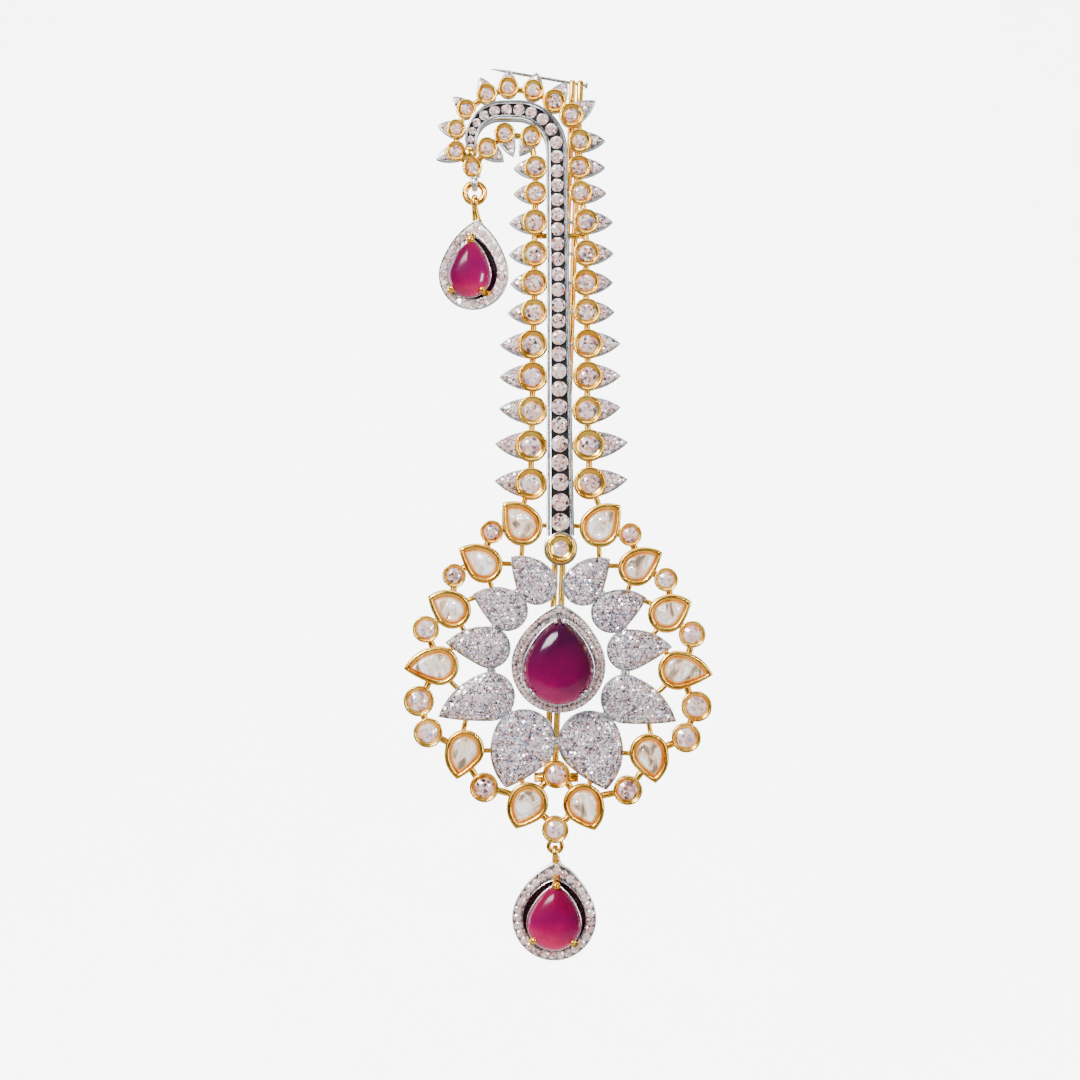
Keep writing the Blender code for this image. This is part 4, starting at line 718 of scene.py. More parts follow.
def lipProfile(lip, front):
    # the rounded lip of a cup, over a bit less than a half circle, from outside
    return [(lip - lip * math.cos(a), front - lip + lip * math.sin(a)) for a in np.linspace(0, math.pi * 0.8, 7)]


def bezelCup(centre, r, thickness, wall, taper=0.92):
    # a turned cup: tapered wall, a narrow rounded lip, then a cone down to the stone
    front = backDepth + thickness
    lip = wall * 0.26
    foot = r * (1 - taper)
    profile = [(foot + r * share, backDepth + rise) for share, rise in ((0.34, 0.3), (0.28, 0.06), (0.22, 0.0))]
    profile += [(foot + 0.1, backDepth), (foot, backDepth + 0.12), (0.05, front - lip * 2.6)]
    profile += lipProfile(lip, front)
    profile += [(wall * 0.72, front - lip * 1.1), (wall * 1.0, front - 0.42), (wall * 1.25, front - 0.95)]
    return outlineLoft(lambda inset: circleOutline(centre, r - inset, 30), profile)


def plumeCup(centre, r, wall, swell=plume["swell"]):
    # a bezel of the plume, a little larger than its listed radius
    return bezelCup(centre, r * swell, plume["thickness"], r * wall, plume["taper"])


def leafPatches(centre, axis, r, reach, stones):
    # the flame-shaped leaf behind a bezel: a full pear about the same centre, domed and paved outside the bezel
    tip = centre + axis * r * reach
    deepest = deepestInset(centre, tip, r)
    back, edge = leaf["back"], leaf["edge"]

    def outlineAt(inset):
        # the leaf's outline, drawn in
        return pearOutline(centre, tip, r, leaf["flank"], leaf["flank"], inset, 16, 8)

    def pastBezel(points):
        # only the stones that the bezel leaves free
        return np.linalg.norm(points - centre, axis=1) > r - leaf["stone"] * 0.3

    profile = [
        (0.46, back + 0.2), (0.38, back + 0.03), (0.3, back), (0.12, back), (0.0, back + 0.15), (0.0, edge - 0.12),
        (0.05, edge + 0.02), (0.17, edge + 0.03), (0.22, edge - 0.04)]
    profile += [(i, domeRise(i, deepest, leaf) - 0.1) for i in np.linspace(0.26, deepest, 5)]
    stones.append(pavedDome(outlineAt(0.0), deepest, leaf, pastBezel))
    return outlineLoft(outlineAt, profile, bed=8)


def linkPatch(first, second, width, depth):
    # a short bar between two bezel centres, thickest in its middle
    a, b = np.asarray(first, float), np.asarray(second, float)
    t = np.linspace(0, 1, 7)
    line = a + (b - a) * t[:, None]
    points = np.stack([line[:, 0], np.full(7, -depth), line[:, 1]], 1)
    return tube(points, width / 2 * (1 + 0.12 * np.sin(math.pi * t)), 10, 1.0)


def buildRow(label, side):
    # one side of the stem: bezels, leaves, pegs to the channel, links and a bar
    places = rowPlaces(side)
    stones, leaves, cups, pegs = [], [], [], []
    for centre, axis, r, reach in places:
        cups.append(plumeCup(centre, r, plume["wall"]))
        leaves.append(leafPatches(centre, axis, r, reach, stones))
        x, z = centre
        edge = float(channelWidth(z)) / 2 - plume["bite"]
        start, end = x - side * (r - 0.35), pathAt(z)[0][0][0] + side * edge
        pegs.append(roundedRod((start, plume["pegPlace"], z), (end, plume["pegPlace"], z), plume["peg"]))
    for low, high in zip(places, places[1:]):
        cups.append(linkPatch(low[0], high[0], plume["linkWidth"], plume["linkDepth"]))
    webHeight = plume["barAt"] * stem["length"]
    webCentre = min(places, key=lambda p: abs(p[0][1] - webHeight))[0]
    webPoint = pathAt(webHeight)[0][0]
    webEdge = webPoint[0] + side * (float(channelWidth(webHeight)) / 2 - plume["bite"])
    cups.append(linkPatch((webEdge, webHeight), (webCentre[0], webHeight), plume["barWidth"], plume["linkDepth"]))
    makePiece(f"{label}BezelRow", cups, gold, "ornament", [f"{label}_bezel_row"])
    makePiece(f"{label}Leaves", leaves, whiteGold, "ornament")
    makePiece(f"{label}StemPegs", pegs, whiteGold, "ornament")
    buildRowStones(label, places, stones)


def buildRowStones(label, places, stones, wall=plume["wall"]):
    # a brilliant in each bezel, and the leaves' small stones
    front = backDepth + plume["thickness"]
    centres = [(c[0], -(front - 0.40), c[1]) for c, axis, r, reach in places]
    radii = [r * (plume["swell"] - wall) for c, axis, r, reach in places]
    big = placed(brilliantCut(), centres, radii, (0, -1, 0), 0.15)
    c, r, n = (np.concatenate(x) for x in zip(*stones))
    small = placed(smallCut(), c, r, n, 0.35)
    makePiece(f"{label}Diamonds", [big, small], diamond, "ornament", smooth=False)


def buildCrest():
    # the bezels and leaves round the hook, their links, the hook's end and the pin's two posts
    places = crestPlaces()
    endCentre, endRadius = endBezel()
    stones, leaves, cups = [], [], []
    for centre, axis, r, reach in places:
        cups.append(plumeCup(centre, r, plume["crestWall"]))
        leaves.append(leafPatches(centre, axis, r, reach, stones))
    cups.append(plumeCup(endCentre, endRadius, plume["crestWall"], 1.0))
    sides = [row[1] for row in crestBezels]
    outer = [p[0] for p, side in zip(places, sides) if side > 0]
    inner = [p[0] for p, side in zip(places, sides) if side < 0]
    chain = [rowPlaces(1)[-1][0]] + outer + [endCentre] + inner + [rowPlaces(-1)[-1][0]]
    for a, b in zip(chain, chain[1:]):
        cups.append(linkPatch(a, b, plume["linkWidth"], plume["linkDepth"]))
    hookEnd = pathAt(stemWhole)[0][0]
    cups.append(ball((hookEnd[0] - 0.25, -3.7, hookEnd[1] - 0.35), 1.2, 20, 12))
    makePiece("fixedEye", fixedEye(endCentre), whiteGold, "ornament")
    for centre, axis, r, reach in sorted(places, key=lambda p: p[0][1])[-2:]:
        root, tip = centre + axis * r * reach * 0.7, centre + axis * r * reach
        line = [(root[0], -2.2, root[1]), (tip[0], -0.9, tip[1] - 0.2), (tip[0], -0.42, crossRodHeight(tip[0]))]
        cups.append(tube(line, [0.3, 0.28, 0.26]))
    makePiece("crestBezelRow", cups, gold, "ornament", ["crest_bezel_row"])
    makePiece("crestLeaves", leaves, whiteGold, "ornament")
    places.append((endCentre, None, endRadius / plume["swell"], 0))
    buildRowStones("crest", places, stones, plume["crestWall"])


pin = {
    "tilt": 2.1, "rod": 0.5, "spacing": 1.2, "top": 71.25, "foot": -35.9, "collarDrop": 4.5, "collar": 1.2,
    "crossLength": 15.0, "crossSlope": 9.9, "crossDrop": 0.62, "crossPast": 1.75}


def pinPoint(height, sideways=0.0):
    # a point of the pin's tilted axis at a height, moved sideways square to it
    a = math.radians(pin["tilt"])
    rise = (height - grip["height"]) / math.cos(a)
    x = grip["x"] + math.sin(a) * rise + math.cos(a) * sideways
    return np.array([x, 0.0, height - math.sin(a) * sideways])


def crossRodEnds():
    # the rod runs down to the right through a point just under the pin's top
    a = math.radians(pin["crossSlope"])
    x, _, z = pinPoint(pin["top"] - pin["crossDrop"])
    right = np.array([x + pin["crossPast"] * math.cos(a), 0.0, z - pin["crossPast"] * math.sin(a)])
    return right - pin["crossLength"] * np.array([math.cos(a), 0.0, -math.sin(a)]), right


def crossRodHeight(x):
    # the rod's height over x, along its straight run
    left, right = crossRodEnds()
    return left[2] + (right[2] - left[2]) * (x - left[0]) / (right[0] - left[0])


def buildPin():
    # twin rods, their collar and the thin steel rod through the top, pointed at its left end
    rods = []
    for side in (1, -1):
        aside = side * pin["spacing"] / 2
        rods.append(roundedRod(pinPoint(pin["foot"], aside), pinPoint(pin["top"], aside), pin["rod"], 20))
    collarTop = pin["top"] - pin["collarDrop"]
    low, high = pinPoint(collarTop - pin["collar"]), pinPoint(collarTop)
    ease = (high - low) * 0.1
    rods.append(tube([low, low + ease, high - ease, high], [1.0, 1.16, 1.16, 1.0], 24, 0.52))
    makePiece("pinFork", rods, pinGold, "ornament", ["pin_fork"])
    left, right = crossRodEnds()
    t = np.array([0.0, 0.07, 0.15, 0.972, 0.976, 0.99, 1.0])
    r = np.array([0.06, 0.16, 0.235, 0.235, 0.46, 0.49, 0.36])
    rod = tube(left + (right - left) * t[:, None], r, 18)
    makePiece("crossRod", [rod], steel, "ornament", ["cross_rod"])


medallion = {
    "half": 23.2, "turn": 1.1, "full": 0.85, "straight": 0.18, "even": 0.45, "polkiFront": backDepth + 3.0,
    "roundThickness": 2.8, "roundStone": 0.65}
bothSides = (("right", 1), ("left", -1))
polkiPlaces = [
    ("neck", 0.248, 0.142, 0.380, 0.290, 0.131), ("shoulder", 0.491, -0.114, 0.659, -0.010, 0.120),
    ("upper", 0.692, -0.410, 0.853, -0.326, 0.122), ("side", 0.769, -0.771, 1.000, -0.795, 0.128),
    ("lower", 0.595, -1.309, 0.642, -1.503, 0.128), ("foot", 0.178, -1.644, 0.257, -1.815, 0.132)]
roundPlaces = [
    ("neck", 0.447, 0.100, 0.076), ("shoulder", 0.684, -0.187, 0.078), ("upper", 0.860, -0.537, 0.088),
    ("side", 0.897, -1.002, 0.100), ("lower", 0.834, -1.206, 0.096), ("foot", 0.464, -1.553, 0.095)]
axisRounds = [("axis", 0.0, -1.459, 0.0905), ("end", 0.0, -1.816, 0.0873)]
pavePlaces = [
    (0.149, -0.233, 0.323, -0.058, 0.136), (0.338, -0.406, 0.566, -0.307, 0.136),
    (0.446, -0.650, 0.737, -0.624, 0.136), (0.436, -0.966, 0.772, -1.105, 0.160),
    (0.213, -1.250, 0.326, -1.558, 0.207)]
ringNeighbours = [
    ("polki_neck", "round_neck"), ("round_neck", "polki_shoulder"), ("polki_shoulder", "round_shoulder"),
    ("round_shoulder", "polki_upper"), ("polki_upper", "round_upper"), ("round_upper", "polki_side"),
    ("polki_side", "round_side"), ("round_side", "round_lower"), ("round_lower", "polki_lower"),
    ("polki_lower", "round_foot"), ("round_foot", "polki_foot")]
ringToPave = [
    ("polki_neck", 0), ("polki_shoulder", 0), ("polki_shoulder", 1), ("polki_upper", 1), ("polki_upper", 2),
    ("polki_side", 2), ("polki_side", 3), ("polki_lower", 3), ("polki_lower", 4), ("polki_foot", 4)]


def medallionPoint(x, z, side=1):
    # a place given in half widths of the medallion, mirrored for the left, then turned a little
    return rotated((side * x * medallion["half"], z * medallion["half"]), medallion["turn"])


def medallionPear(row, side, inset=0.0, arc=26, flank=9, draw=1.75):
    # a row of the place tables as a pear outline, drawn in by the inset
    x, z, tipX, tipZ, radius = row
    left, right = (medallion["full"], medallion["straight"])[::side]
    return pearOutline(medallionPoint(x, z, side), medallionPoint(tipX, tipZ, side),
                       radius * medallion["half"], left, right, inset, arc, flank, draw)


def polkiBezel(row, side):
    # a pear wall with a rounded lip and a cone down to the stone, and a recessed back
    front, wall, lip = medallion["polkiFront"], 0.98, 0.42
    profile = [(0.98, backDepth + 0.3), (0.86, backDepth + 0.06), (0.76, backDepth), (0.38, backDepth)]
    profile += [(0.25, backDepth + 0.12), (0.03, front - 0.6)]
    profile += lipProfile(lip, front)
    profile += [(wall * 0.88, front - lip * 0.9), (wall, front - 0.5), (wall + 0.3, front - 1.2)]
    return outlineLoft(lambda inset: medallionPear(row, side, inset, draw=polkiLook["draw"]), profile)


def polkiStone(row, side, seed):
    # a flat stone with a sloped edge, coloured as a painted reflection of the gold, and a face that rolls in soft
    # waves
    inset, front = 1.0, medallion["polkiFront"]
    profile = [(0.2, 1.2), (0.0, 0.9), (0.0, 0.42), (0.08, 0.26), (0.34, 0.08)]    # (inset, space behind the front)
    rings = []
    for i, behind in profile:
        rings.append(atDepth(medallionPear(row, side, inset + i, draw=polkiLook["draw"]), front - behind))
    deepest = row[4] * medallion["half"] * 0.9
    phase = np.random.default_rng(seed).uniform(0, math.tau, 3)
    for i in np.linspace(0.5, deepest - inset, 6):
        ring = medallionPear(row, side, inset + i, draw=polkiLook["draw"])
        wave = 0.09 * np.sin(1.9 * ring[:, 0] + phase[0]) + 0.08 * np.sin(2.1 * ring[:, 1] + phase[1])
        rings.append(np.stack([ring[:, 0], -(front - 0.02 + wave * min(1.0, i)), ring[:, 1]], 1))
    stone = loft(rings)
    # the edge faces take tone 0, where the material paints the gold's reflection
    stone["tone"][0][:4 * len(rings[0])] = 0.0
    return stone


def nearestPair(first, second):
    # the two closest points of two outlines
    d = np.linalg.norm(first[:, None] - second[None], axis=2)
    i, j = np.unravel_index(d.argmin(), d.shape)
    return first[i], second[j]


def bridgePatch(first, second, width=0.95, bite=0.45):
    # a rounded solder bar over the narrowest place between two outlines
    a, b = nearestPair(first, second)
    toward = second.mean(0) - first.mean(0)
    toward = toward / np.linalg.norm(toward)
    a, b = a - toward * bite, b + toward * bite
    return linkPatch(a, b, width, backDepth + 1.05)


def roundStone(centre, height, radius):
    # one brilliant, facing the front, at a height over the back of its bezel
    return placed(brilliantCut(), [(centre[0], -(backDepth + height), centre[1])], [radius], (0, -1, 0))


def buildRing():
    # the outer ring: pear and round bezels, the bars between them, the catch and the drop's loop
    outlines = {}
    for name, *row in polkiPlaces:
        for label, side in bothSides:
            outlines[f"polki_{name}_{label}"] = medallionPear(row, side)
    rounds = []
    for name, x, z, radius in roundPlaces:
        for label, side in bothSides:
            rounds.append((f"{name}_{label}", medallionPoint(x, z, side), radius * medallion["half"]))
    rounds += [(name, medallionPoint(x, z), radius * medallion["half"]) for name, x, z, radius in axisRounds]
    for name, centre, r in rounds:
        outlines[f"round_{name}"] = circleOutline(centre, r)
    metal = [polkiBezel(row, side) for name, *row in polkiPlaces for side in (1, -1)]
    metal += [bezelCup(centre, r, medallion["roundThickness"], r * 0.35) for name, centre, r in rounds]
    stemFoot = circleOutline(pathAt(3.3)[0][0], 1.9)
    for label, side in bothSides:
        for a, b in ringNeighbours:
            metal.append(bridgePatch(outlines[f"{a}_{label}"], outlines[f"{b}_{label}"]))
        for end in ("round_axis", "round_end"):
            metal.append(bridgePatch(outlines[f"polki_foot_{label}"], outlines[end]))
        for name, index in ringToPave:
            metal.append(bridgePatch(outlines[f"{name}_{label}"], medallionPear(pavePlaces[index], side), 0.7, 0.3))
        metal.append(bridgePatch(outlines[f"polki_neck_{label}"], stemFoot, 0.65))
        centre, axis, r, reach = rowPlaces(side)[0]
        lowestLeaf = pearOutline(centre, centre + axis * r * reach, r * 0.96, 0.22, 0.22)
        metal.append(bridgePatch(outlines[f"polki_neck_{label}"], lowestLeaf, 0.75, 0.35))
    metal += catchPatches()
    metal.append(ringOfWire(loopCentre(), links["depth"], links["loop"], links["loopWire"]))
    makePiece("polkiRing", metal, gold, "ornament", ["polki_ring"])
    seed = 11
    for name, *row in polkiPlaces:
        for label, side in bothSides:
            seed += 1
            title = name.capitalize() + label.capitalize()
            makePiece(f"polki{title}", [polkiStone(row, side, seed)], polki, "ornament",
                      [f"polki_{name}_{label}"], sharpDeg=30.0)
    for name, centre, r in rounds:
        stone = roundStone(centre, medallion["roundThickness"] - 0.4, r * medallion["roundStone"])
        title = "".join(word.capitalize() for word in name.split("_"))
        makePiece(f"diamond{title}", [stone], diamond, "ornament", [f"diamond_{name}"], smooth=False)


def block(x0, x1, depth0, depth1, z0, z1, edge=0.08):
    # a box with softened edges: its outline, cut at the corners, is drawn in towards both faces
    middle, half = np.array([(x0 + x1) / 2, (z0 + z1) / 2]), np.array([(x1 - x0) / 2, (z1 - z0) / 2])
    rect = np.array([
        (x0 + edge, z0), (x1 - edge, z0), (x1, z0 + edge), (x1, z1 - edge),
        (x1 - edge, z1), (x0 + edge, z1), (x0, z1 - edge), (x0, z0 + edge)])
    small = middle + (rect - middle) * (half - edge) / half
    return loft([
        atDepth(small, depth0), atDepth(rect, depth0 + edge), atDepth(rect, depth1 - edge), atDepth(small, depth1)])


catch = {
    "below": 0.75, "play": 0.18, "half": 3.35, "wall": 0.45, "wallBack": 0.27, "plate": 0.31, "plateBack": 0.45,
    "bracketTall": 0.65, "wallTall": 0.58, "plateTall": 0.52}


def catchPatches():
    # the bracket behind the axis bezel, and the two walls and the plate of the sleeve round the pin's foot
    middle = medallionPoint(*axisRounds[0][1:3])
    height = middle[1] - catch["below"]
    x = pinPoint(height)[0]
    deep = pin["rod"] + catch["play"]
    inner = pin["spacing"] / 2 + deep
    outer, plate, back = inner + catch["wall"], inner + catch["plate"], -deep - catch["wallBack"]

    def bar(x0, x1, depth0, depth1, tall):
        # a block as far below the catch's height as above it
        return block(x0, x1, depth0, depth1, height - tall, height + tall)

    return [
        bar(middle[0] - catch["half"], middle[0] + catch["half"], deep, backDepth + 0.4, catch["bracketTall"]),
        bar(x - outer, x - inner, back, deep + 0.2, catch["wallTall"]),
        bar(x + inner, x + outer, back, deep + 0.2, catch["wallTall"]),
        bar(x - plate, x + plate, -deep - catch["plateBack"], -deep, catch["plateTall"])]


pave = {
    "back": 2.0, "edge": 3.55, "dome": 1.15, "stone": 0.385, "rim": 0.18, "pack": (0.78, 1.88),
    "grow": (1.08, 0.74, 1.06), "sink": 0.0, "jitter": 0.22}


def beadsBetween(centres, radii, normals):
    # metal beads on the edges of the stones, three to a stone
    n = normals / np.linalg.norm(normals, axis=1)[:, None]
    side = np.cross(n, [0, 0, 1.0])
    side /= np.linalg.norm(side, axis=1)[:, None]
    up = np.cross(side, n)
    out = []
    for k in range(3):
        a = rng.uniform(0, math.tau, len(centres))[:, None] * 0.25 + k * math.tau / 3
        out.append(centres + (side * np.cos(a) + up * np.sin(a)) * radii[:, None] * 1.03 + n * 0.02)
    return np.concatenate(out), np.repeat(0.12, 3 * len(centres)), np.concatenate([n] * 3)


def buildPave():
    # ten domed leaves with their stones and beads
    metal, stones, beads = [], [], []
    for side in (1, -1):
        for row in pavePlaces:
            x, z, tipX, tipZ, radius = row
            deepest = deepestInset(
                medallionPoint(x, z, side), medallionPoint(tipX, tipZ, side), radius * medallion["half"])

            def outlineAt(inset):
                # the pave leaf's outline, drawn in
                return medallionPear(row, side, inset)

            edge, back = pave["edge"], pave["back"]
            profile = [
                (0.86, back + 0.4), (0.76, back + 0.06), (0.66, back), (0.3, back), (0.15, back + 0.2),
                (0.0, edge - 0.35), (0.0, edge - 0.1), (0.05, edge + 0.02), (0.13, edge + 0.03), (0.19, edge - 0.05)]
            profile += [(i, domeRise(i, deepest, pave) - 0.14) for i in np.linspace(0.24, deepest, 8)]
            metal.append(outlineLoft(outlineAt, profile, bed=9))
            centres, radii, normals = pavedDome(outlineAt(0.0), deepest, pave)
            stones.append(placed(smallCut(), centres, radii, normals, 0.35))
            beads.append(placed(grainBead(), *beadsBetween(centres, radii, normals)))
        for a, b in zip(pavePlaces, pavePlaces[1:]):
            metal.append(bridgePatch(medallionPear(a, side), medallionPear(b, side), 1.3))
    metal.append(bridgePatch(medallionPear(pavePlaces[-1], 1), medallionPear(pavePlaces[-1], -1), 1.3))
    makePiece("paveLeaves", metal, whiteGold, "ornament", ["pave_leaves"])
    makePiece("paveDiamonds", stones, paveDiamond, "ornament", smooth=False)
    makePiece("paveBeads", beads, whiteGold, "ornament", smooth=False)


def haloPlace(look, points, depth):
    # local (x, z) and depth in front of the cup's back, leaned, yawed and moved to the halo's place
    p = rotated(np.asarray(points, float), look["lean"])
    a = math.radians(look["yaw"])
    depth = np.broadcast_to(np.asarray(depth, float), p.shape[:-1])
    return np.stack([
        look["centre"][0] + p[..., 0] * math.cos(a) - depth * math.sin(a),
        -look["depth"] - depth * math.cos(a) - p[..., 0] * math.sin(a),
        look["centre"][1] + p[..., 1]], -1)


def haloOutline(look, inset, arc=30, flank=10):
    # the halo's pear, drawn in by the inset
    even = medallion["even"]
    return pearOutline((0, 0), (0, look["tip"]), look["radius"], even, even, inset, arc, flank)


def rubyOutline(look, share=1.0, arc=14, flank=5):
    # the ruby's pear, scaled about its round end's centre
    even = medallion["even"]
    return pearOutline((0, 0), (0, look["rubyTip"]), look["ruby"], even, even, 0.0, arc, flank) * share


def buildHalo(name, look, body, slotRuby, rubyLookMaterial, frameNode, rubyNode, clawMaterial, clawSlot):
    # a cup with a bed of stones round its rim, a wire seat, claws and the ruby itself
    band, thick = look["band"], look["thickness"]
    bedDepth, cover = thick - 0.3, thick - 0.16            # the bed's floor, and the depth of the stones' girdles
    profile = [
        (1.3, 0.35), (1.18, 0.05), (1.06, 0.0), (0.5, 0.0), (0.35, 0.12), (0.05, thick * 0.5), (0.0, thick - 0.45),
        (0.03, thick - 0.2), (0.12, thick - 0.14), (0.2, thick - 0.2), (0.24, bedDepth), (band - 0.2, bedDepth),
        (band - 0.16, thick - 0.22), (band - 0.09, cover), (band - 0.01, thick - 0.22), (band, thick - 0.4),
        (band + 0.04, look["floor"] + 0.1), (band + 0.3, look["floor"])]
    frameLoft = loft([haloPlace(look, haloOutline(look, inset), depth) for inset, depth in profile])
    rimTones = frameLoft["tone"][0].reshape(len(profile) - 1, -1)
    rimTones[10] = look["bedTone"]                         # the bed under the stones, in painted shade
    rimTones[look["darkFrom"]:] = look["wellTone"]         # painted shade in the well round the ruby
    # the well's floor gets the same painted shade
    frameLoft["tone"][2][:] = look["wellTone"]
    size = look["stone"]
    stones = []
    a = math.radians(look["yaw"])
    face = np.array([-math.sin(a), -math.cos(a), 0.0])
    insets = [band * 0.5] if look["rows"] == 1 else [0.18 + size, band - 0.16 - size]
    for k, inset in enumerate(insets):
        stones.append(haloPlace(look, evenPoints(haloOutline(look, inset, 60, 20), size * 1.96, 0.5 * k), cover))
    tipRadius = look["tipStone"]
    stones.append(haloPlace(look, [(0.0, look["tip"] - 0.2 - tipRadius * 1.45)], cover))
    centres = np.concatenate(stones)
    radii = np.append(np.full(len(centres) - 1, size), tipRadius)
    normals = face + rng.normal(0, look["jitter"], centres.shape)
    cut = brilliantCut() if look["rows"] == 1 else smallCut()
    diamonds = placed(cut, centres, radii, normals)
    beads = placed(grainBead(), *beadsBetween(centres, radii, normals))
    makePiece(f"{name}Diamonds", [diamonds], diamond, body, smooth=False)
    makePiece(f"{name}Beads", [beads], whiteGold, body, smooth=False)
    place = np.array([look["rubyShift"], -look["rubyDrop"]])
    outline = rubyOutline(look, 1.0, 40, 14) + place
    middle = outline.mean(0)
    seat = []
    for turn in math.tau * np.arange(8) / 8:               # a fine wire under the ruby's edge
        grown = middle + (outline - middle) * (1 + (0.02 + 0.13 * math.cos(turn)) / look["ruby"])
        seat.append(haloPlace(look, grown, look["girdle"] - 0.2 + 0.13 * math.sin(turn)))
    makePiece(f"{name}Frame", [frameLoft, loft(seat, closed=True)], haloMetal, body, [frameNode])
    makePiece(f"{name}Claws", clawPatches(look), clawMaterial, body)
    girdle = look["girdle"]
    levels = [(0.5, look["floor"] + 0.15), (0.8, girdle * 0.62), (0.985, girdle - 0.12), (1.0, girdle)]
    levels.append((0.99, girdle + 0.1))
    levels += [(share, girdle + look["dome"] * rise) for share, rise in look["crown"]]
    rings = [haloPlace(look, rubyOutline(look, share, *look["facets"]) + place, depth) for share, depth in levels]
    makePiece(f"{name}Ruby", [loft(rings)], rubyLookMaterial, body, [rubyNode], sharpDeg=look["sharp"])


def clawPatches(look):
    # claws that rise from the band and end in a bead over the ruby's edge
    outline = rubyOutline(look, 1.0, 60, 20)
    bandLine = haloOutline(look, look["band"] * 0.8, 60, 20)
    parts = []
    for angle, width in look["claws"]:
        a = math.radians(angle)
        direction = np.array([math.sin(a), math.cos(a)])
        edge = outline[(outline @ direction / np.linalg.norm(outline, axis=1)).argmax()]
        seat = bandLine[(bandLine @ direction / np.linalg.norm(bandLine, axis=1)).argmax()]
        edge = edge + [look["rubyShift"], -look["rubyDrop"]]
        out = edge / np.linalg.norm(edge)
        g, top, w = look["girdle"], look["girdle"] + look["hook"], width / 2
        line = [
            haloPlace(look, seat, look["thickness"] * 0.55), haloPlace(look, edge + out * 0.42, g * 0.8),
            haloPlace(look, edge + out * 0.34, g + (top - g) * 0.4),
            haloPlace(look, edge + out * 0.12, top - w * 0.8), haloPlace(look, edge - out * 0.1, top - w * 0.6)]
        parts.append(tube(line, [w * 0.8, w * 0.8, w * 0.85, w * 0.9, w * 0.6], 12))
        parts.append(ball(haloPlace(look, edge - out * 0.1, top - w * 0.5), w, 14, 8))
    return parts


centreHalo = {
    "centre": medallionPoint(0.0, -0.756), "depth": backDepth, "radius": 0.305 * medallion["half"],
    "tip": 0.40 * medallion["half"], "lean": 1.1, "yaw": 0.0, "band": 1.8, "thickness": 3.2, "floor": 1.2,
    "stone": 0.37, "tipStone": 0.4, "rows": 2, "jitter": 0.12, "darkFrom": 15, "bedTone": 0.2, "wellTone": 0.0,
    "ruby": 5.25, "rubyTip": 7.5, "rubyDrop": 0.32, "rubyShift": 0.0, "girdle": 5.6, "dome": 3.1,
    "crown": [(0.97, 0.2), (0.79, 0.62), (0.52, 0.80), (0.26, 0.86)], "sharp": 60.0, "facets": (40, 14),
    "hook": 1.3, "claws": [(-4.5, 0.75), (4.5, 0.75), (128, 0.6), (136, 0.6), (224, 0.6), (232, 0.6)]}
links = {   # rings of wire in the jewel's plane, and eyes round them edge on to the front
    "depth": 3.2, "ring": 1.45, "ringWire": 0.48, "loop": 1.0, "loopWire": 0.34, "loopDrop": 2.55, "eyeWire": 0.3,
    "eyeWide": 1.5, "play": 0.16}


def eyeRound(wire):
    # an eye's radius: the wire it hangs on, the play between them and the eye's own wire
    return wire + links["play"] + links["eyeWire"]


def eyePatch(centre, radius):
    # an eye edge on, of wire that is flattened sideways
    return ringOfWire(centre, links["depth"], radius, links["eyeWire"], edgeOn=True, sides=36, wide=links["eyeWide"])


def ringCentre():
    # the jump ring hangs straight under the last bezel
    centre, r = endBezel()
    return np.array([centre[0] + 0.35, centre[1] - r - eyeRound(links["ringWire"]) * 0.9 - links["ring"]])


def fixedEye(endCentre):
    # an eye edge on to the front and its neck up to the last bezel
    x, z = ringCentre()
    y = -links["depth"]
    line = [(x, y, z + 2.08), (x, y, z + 2.45), (x, y, z + 2.8), (endCentre[0], y, endCentre[1] - 0.9)]
    neck = tube(line, [0.45, 0.9, 1.05, 1.1], 16, 0.7)
    return [eyePatch((x, z + links["ring"]), eyeRound(links["ringWire"])), neck]


def dropLook(pivot, wire, shift, low, setback, **own):
    # the lengths that both drops share, with the ones that differ put in
    eye, thickness = eyeRound(wire), 2.2
    return {
        "centre": np.array([pivot[0] + shift, pivot[1] - eye - 0.3 - low]),
        "depth": links["depth"] - setback - thickness / 2, "thickness": thickness, "floor": 0.8, "stone": 0.63,
        "tipStone": 0.38, "rows": 1, "jitter": 0.08, "darkFrom": 16, "bedTone": 0.36, "wellTone": 0.1,
        "girdle": thickness + 1.0, "dome": 2.0, "sharp": 60.0, "facets": (26, 9),
        "crown": [(0.95, 0.25), (0.86, 0.52), (0.72, 0.76), (0.52, 0.92), (0.28, 1.0)], "hook": 0.85,
        "claws": [(0, 1.3), (132, 1.1), (228, 1.1)], "pivot": pivot, "eye": eye,
        "stalk": [0.5, 0.55, 0.58, 0.66, 0.8, 0.95], **own}


hookDropOwn = {
    "radius": 5.38, "tip": 8.25, "lean": 4.0, "yaw": 13.0, "band": 1.65, "ruby": 3.3, "rubyTip": 5.35,
    "rubyDrop": 0.3, "rubyShift": -0.3}
lowerDropOwn = {
    "radius": 6.35, "tip": 8.65, "lean": 3.0, "yaw": 0.0, "band": 1.66, "ruby": 4.0, "rubyTip": 5.8,
    "rubyDrop": 0.5, "rubyShift": 0.0}


def dropTop(look):
    # the drop's eye, and its stalk down to the halo's tip
    pivot, eye = look["pivot"], look["eye"]
    tip = haloPlace(look, (0.0, look["tip"] - 0.9), look["thickness"] * 0.5)
    start = np.array([pivot[0], -links["depth"], pivot[1] - eye + 0.05])
    t = np.linspace(0, 1, 6)[:, None]
    return [eyePatch(pivot, eye), tube(start + (tip - start) * t, look["stalk"], 16)]


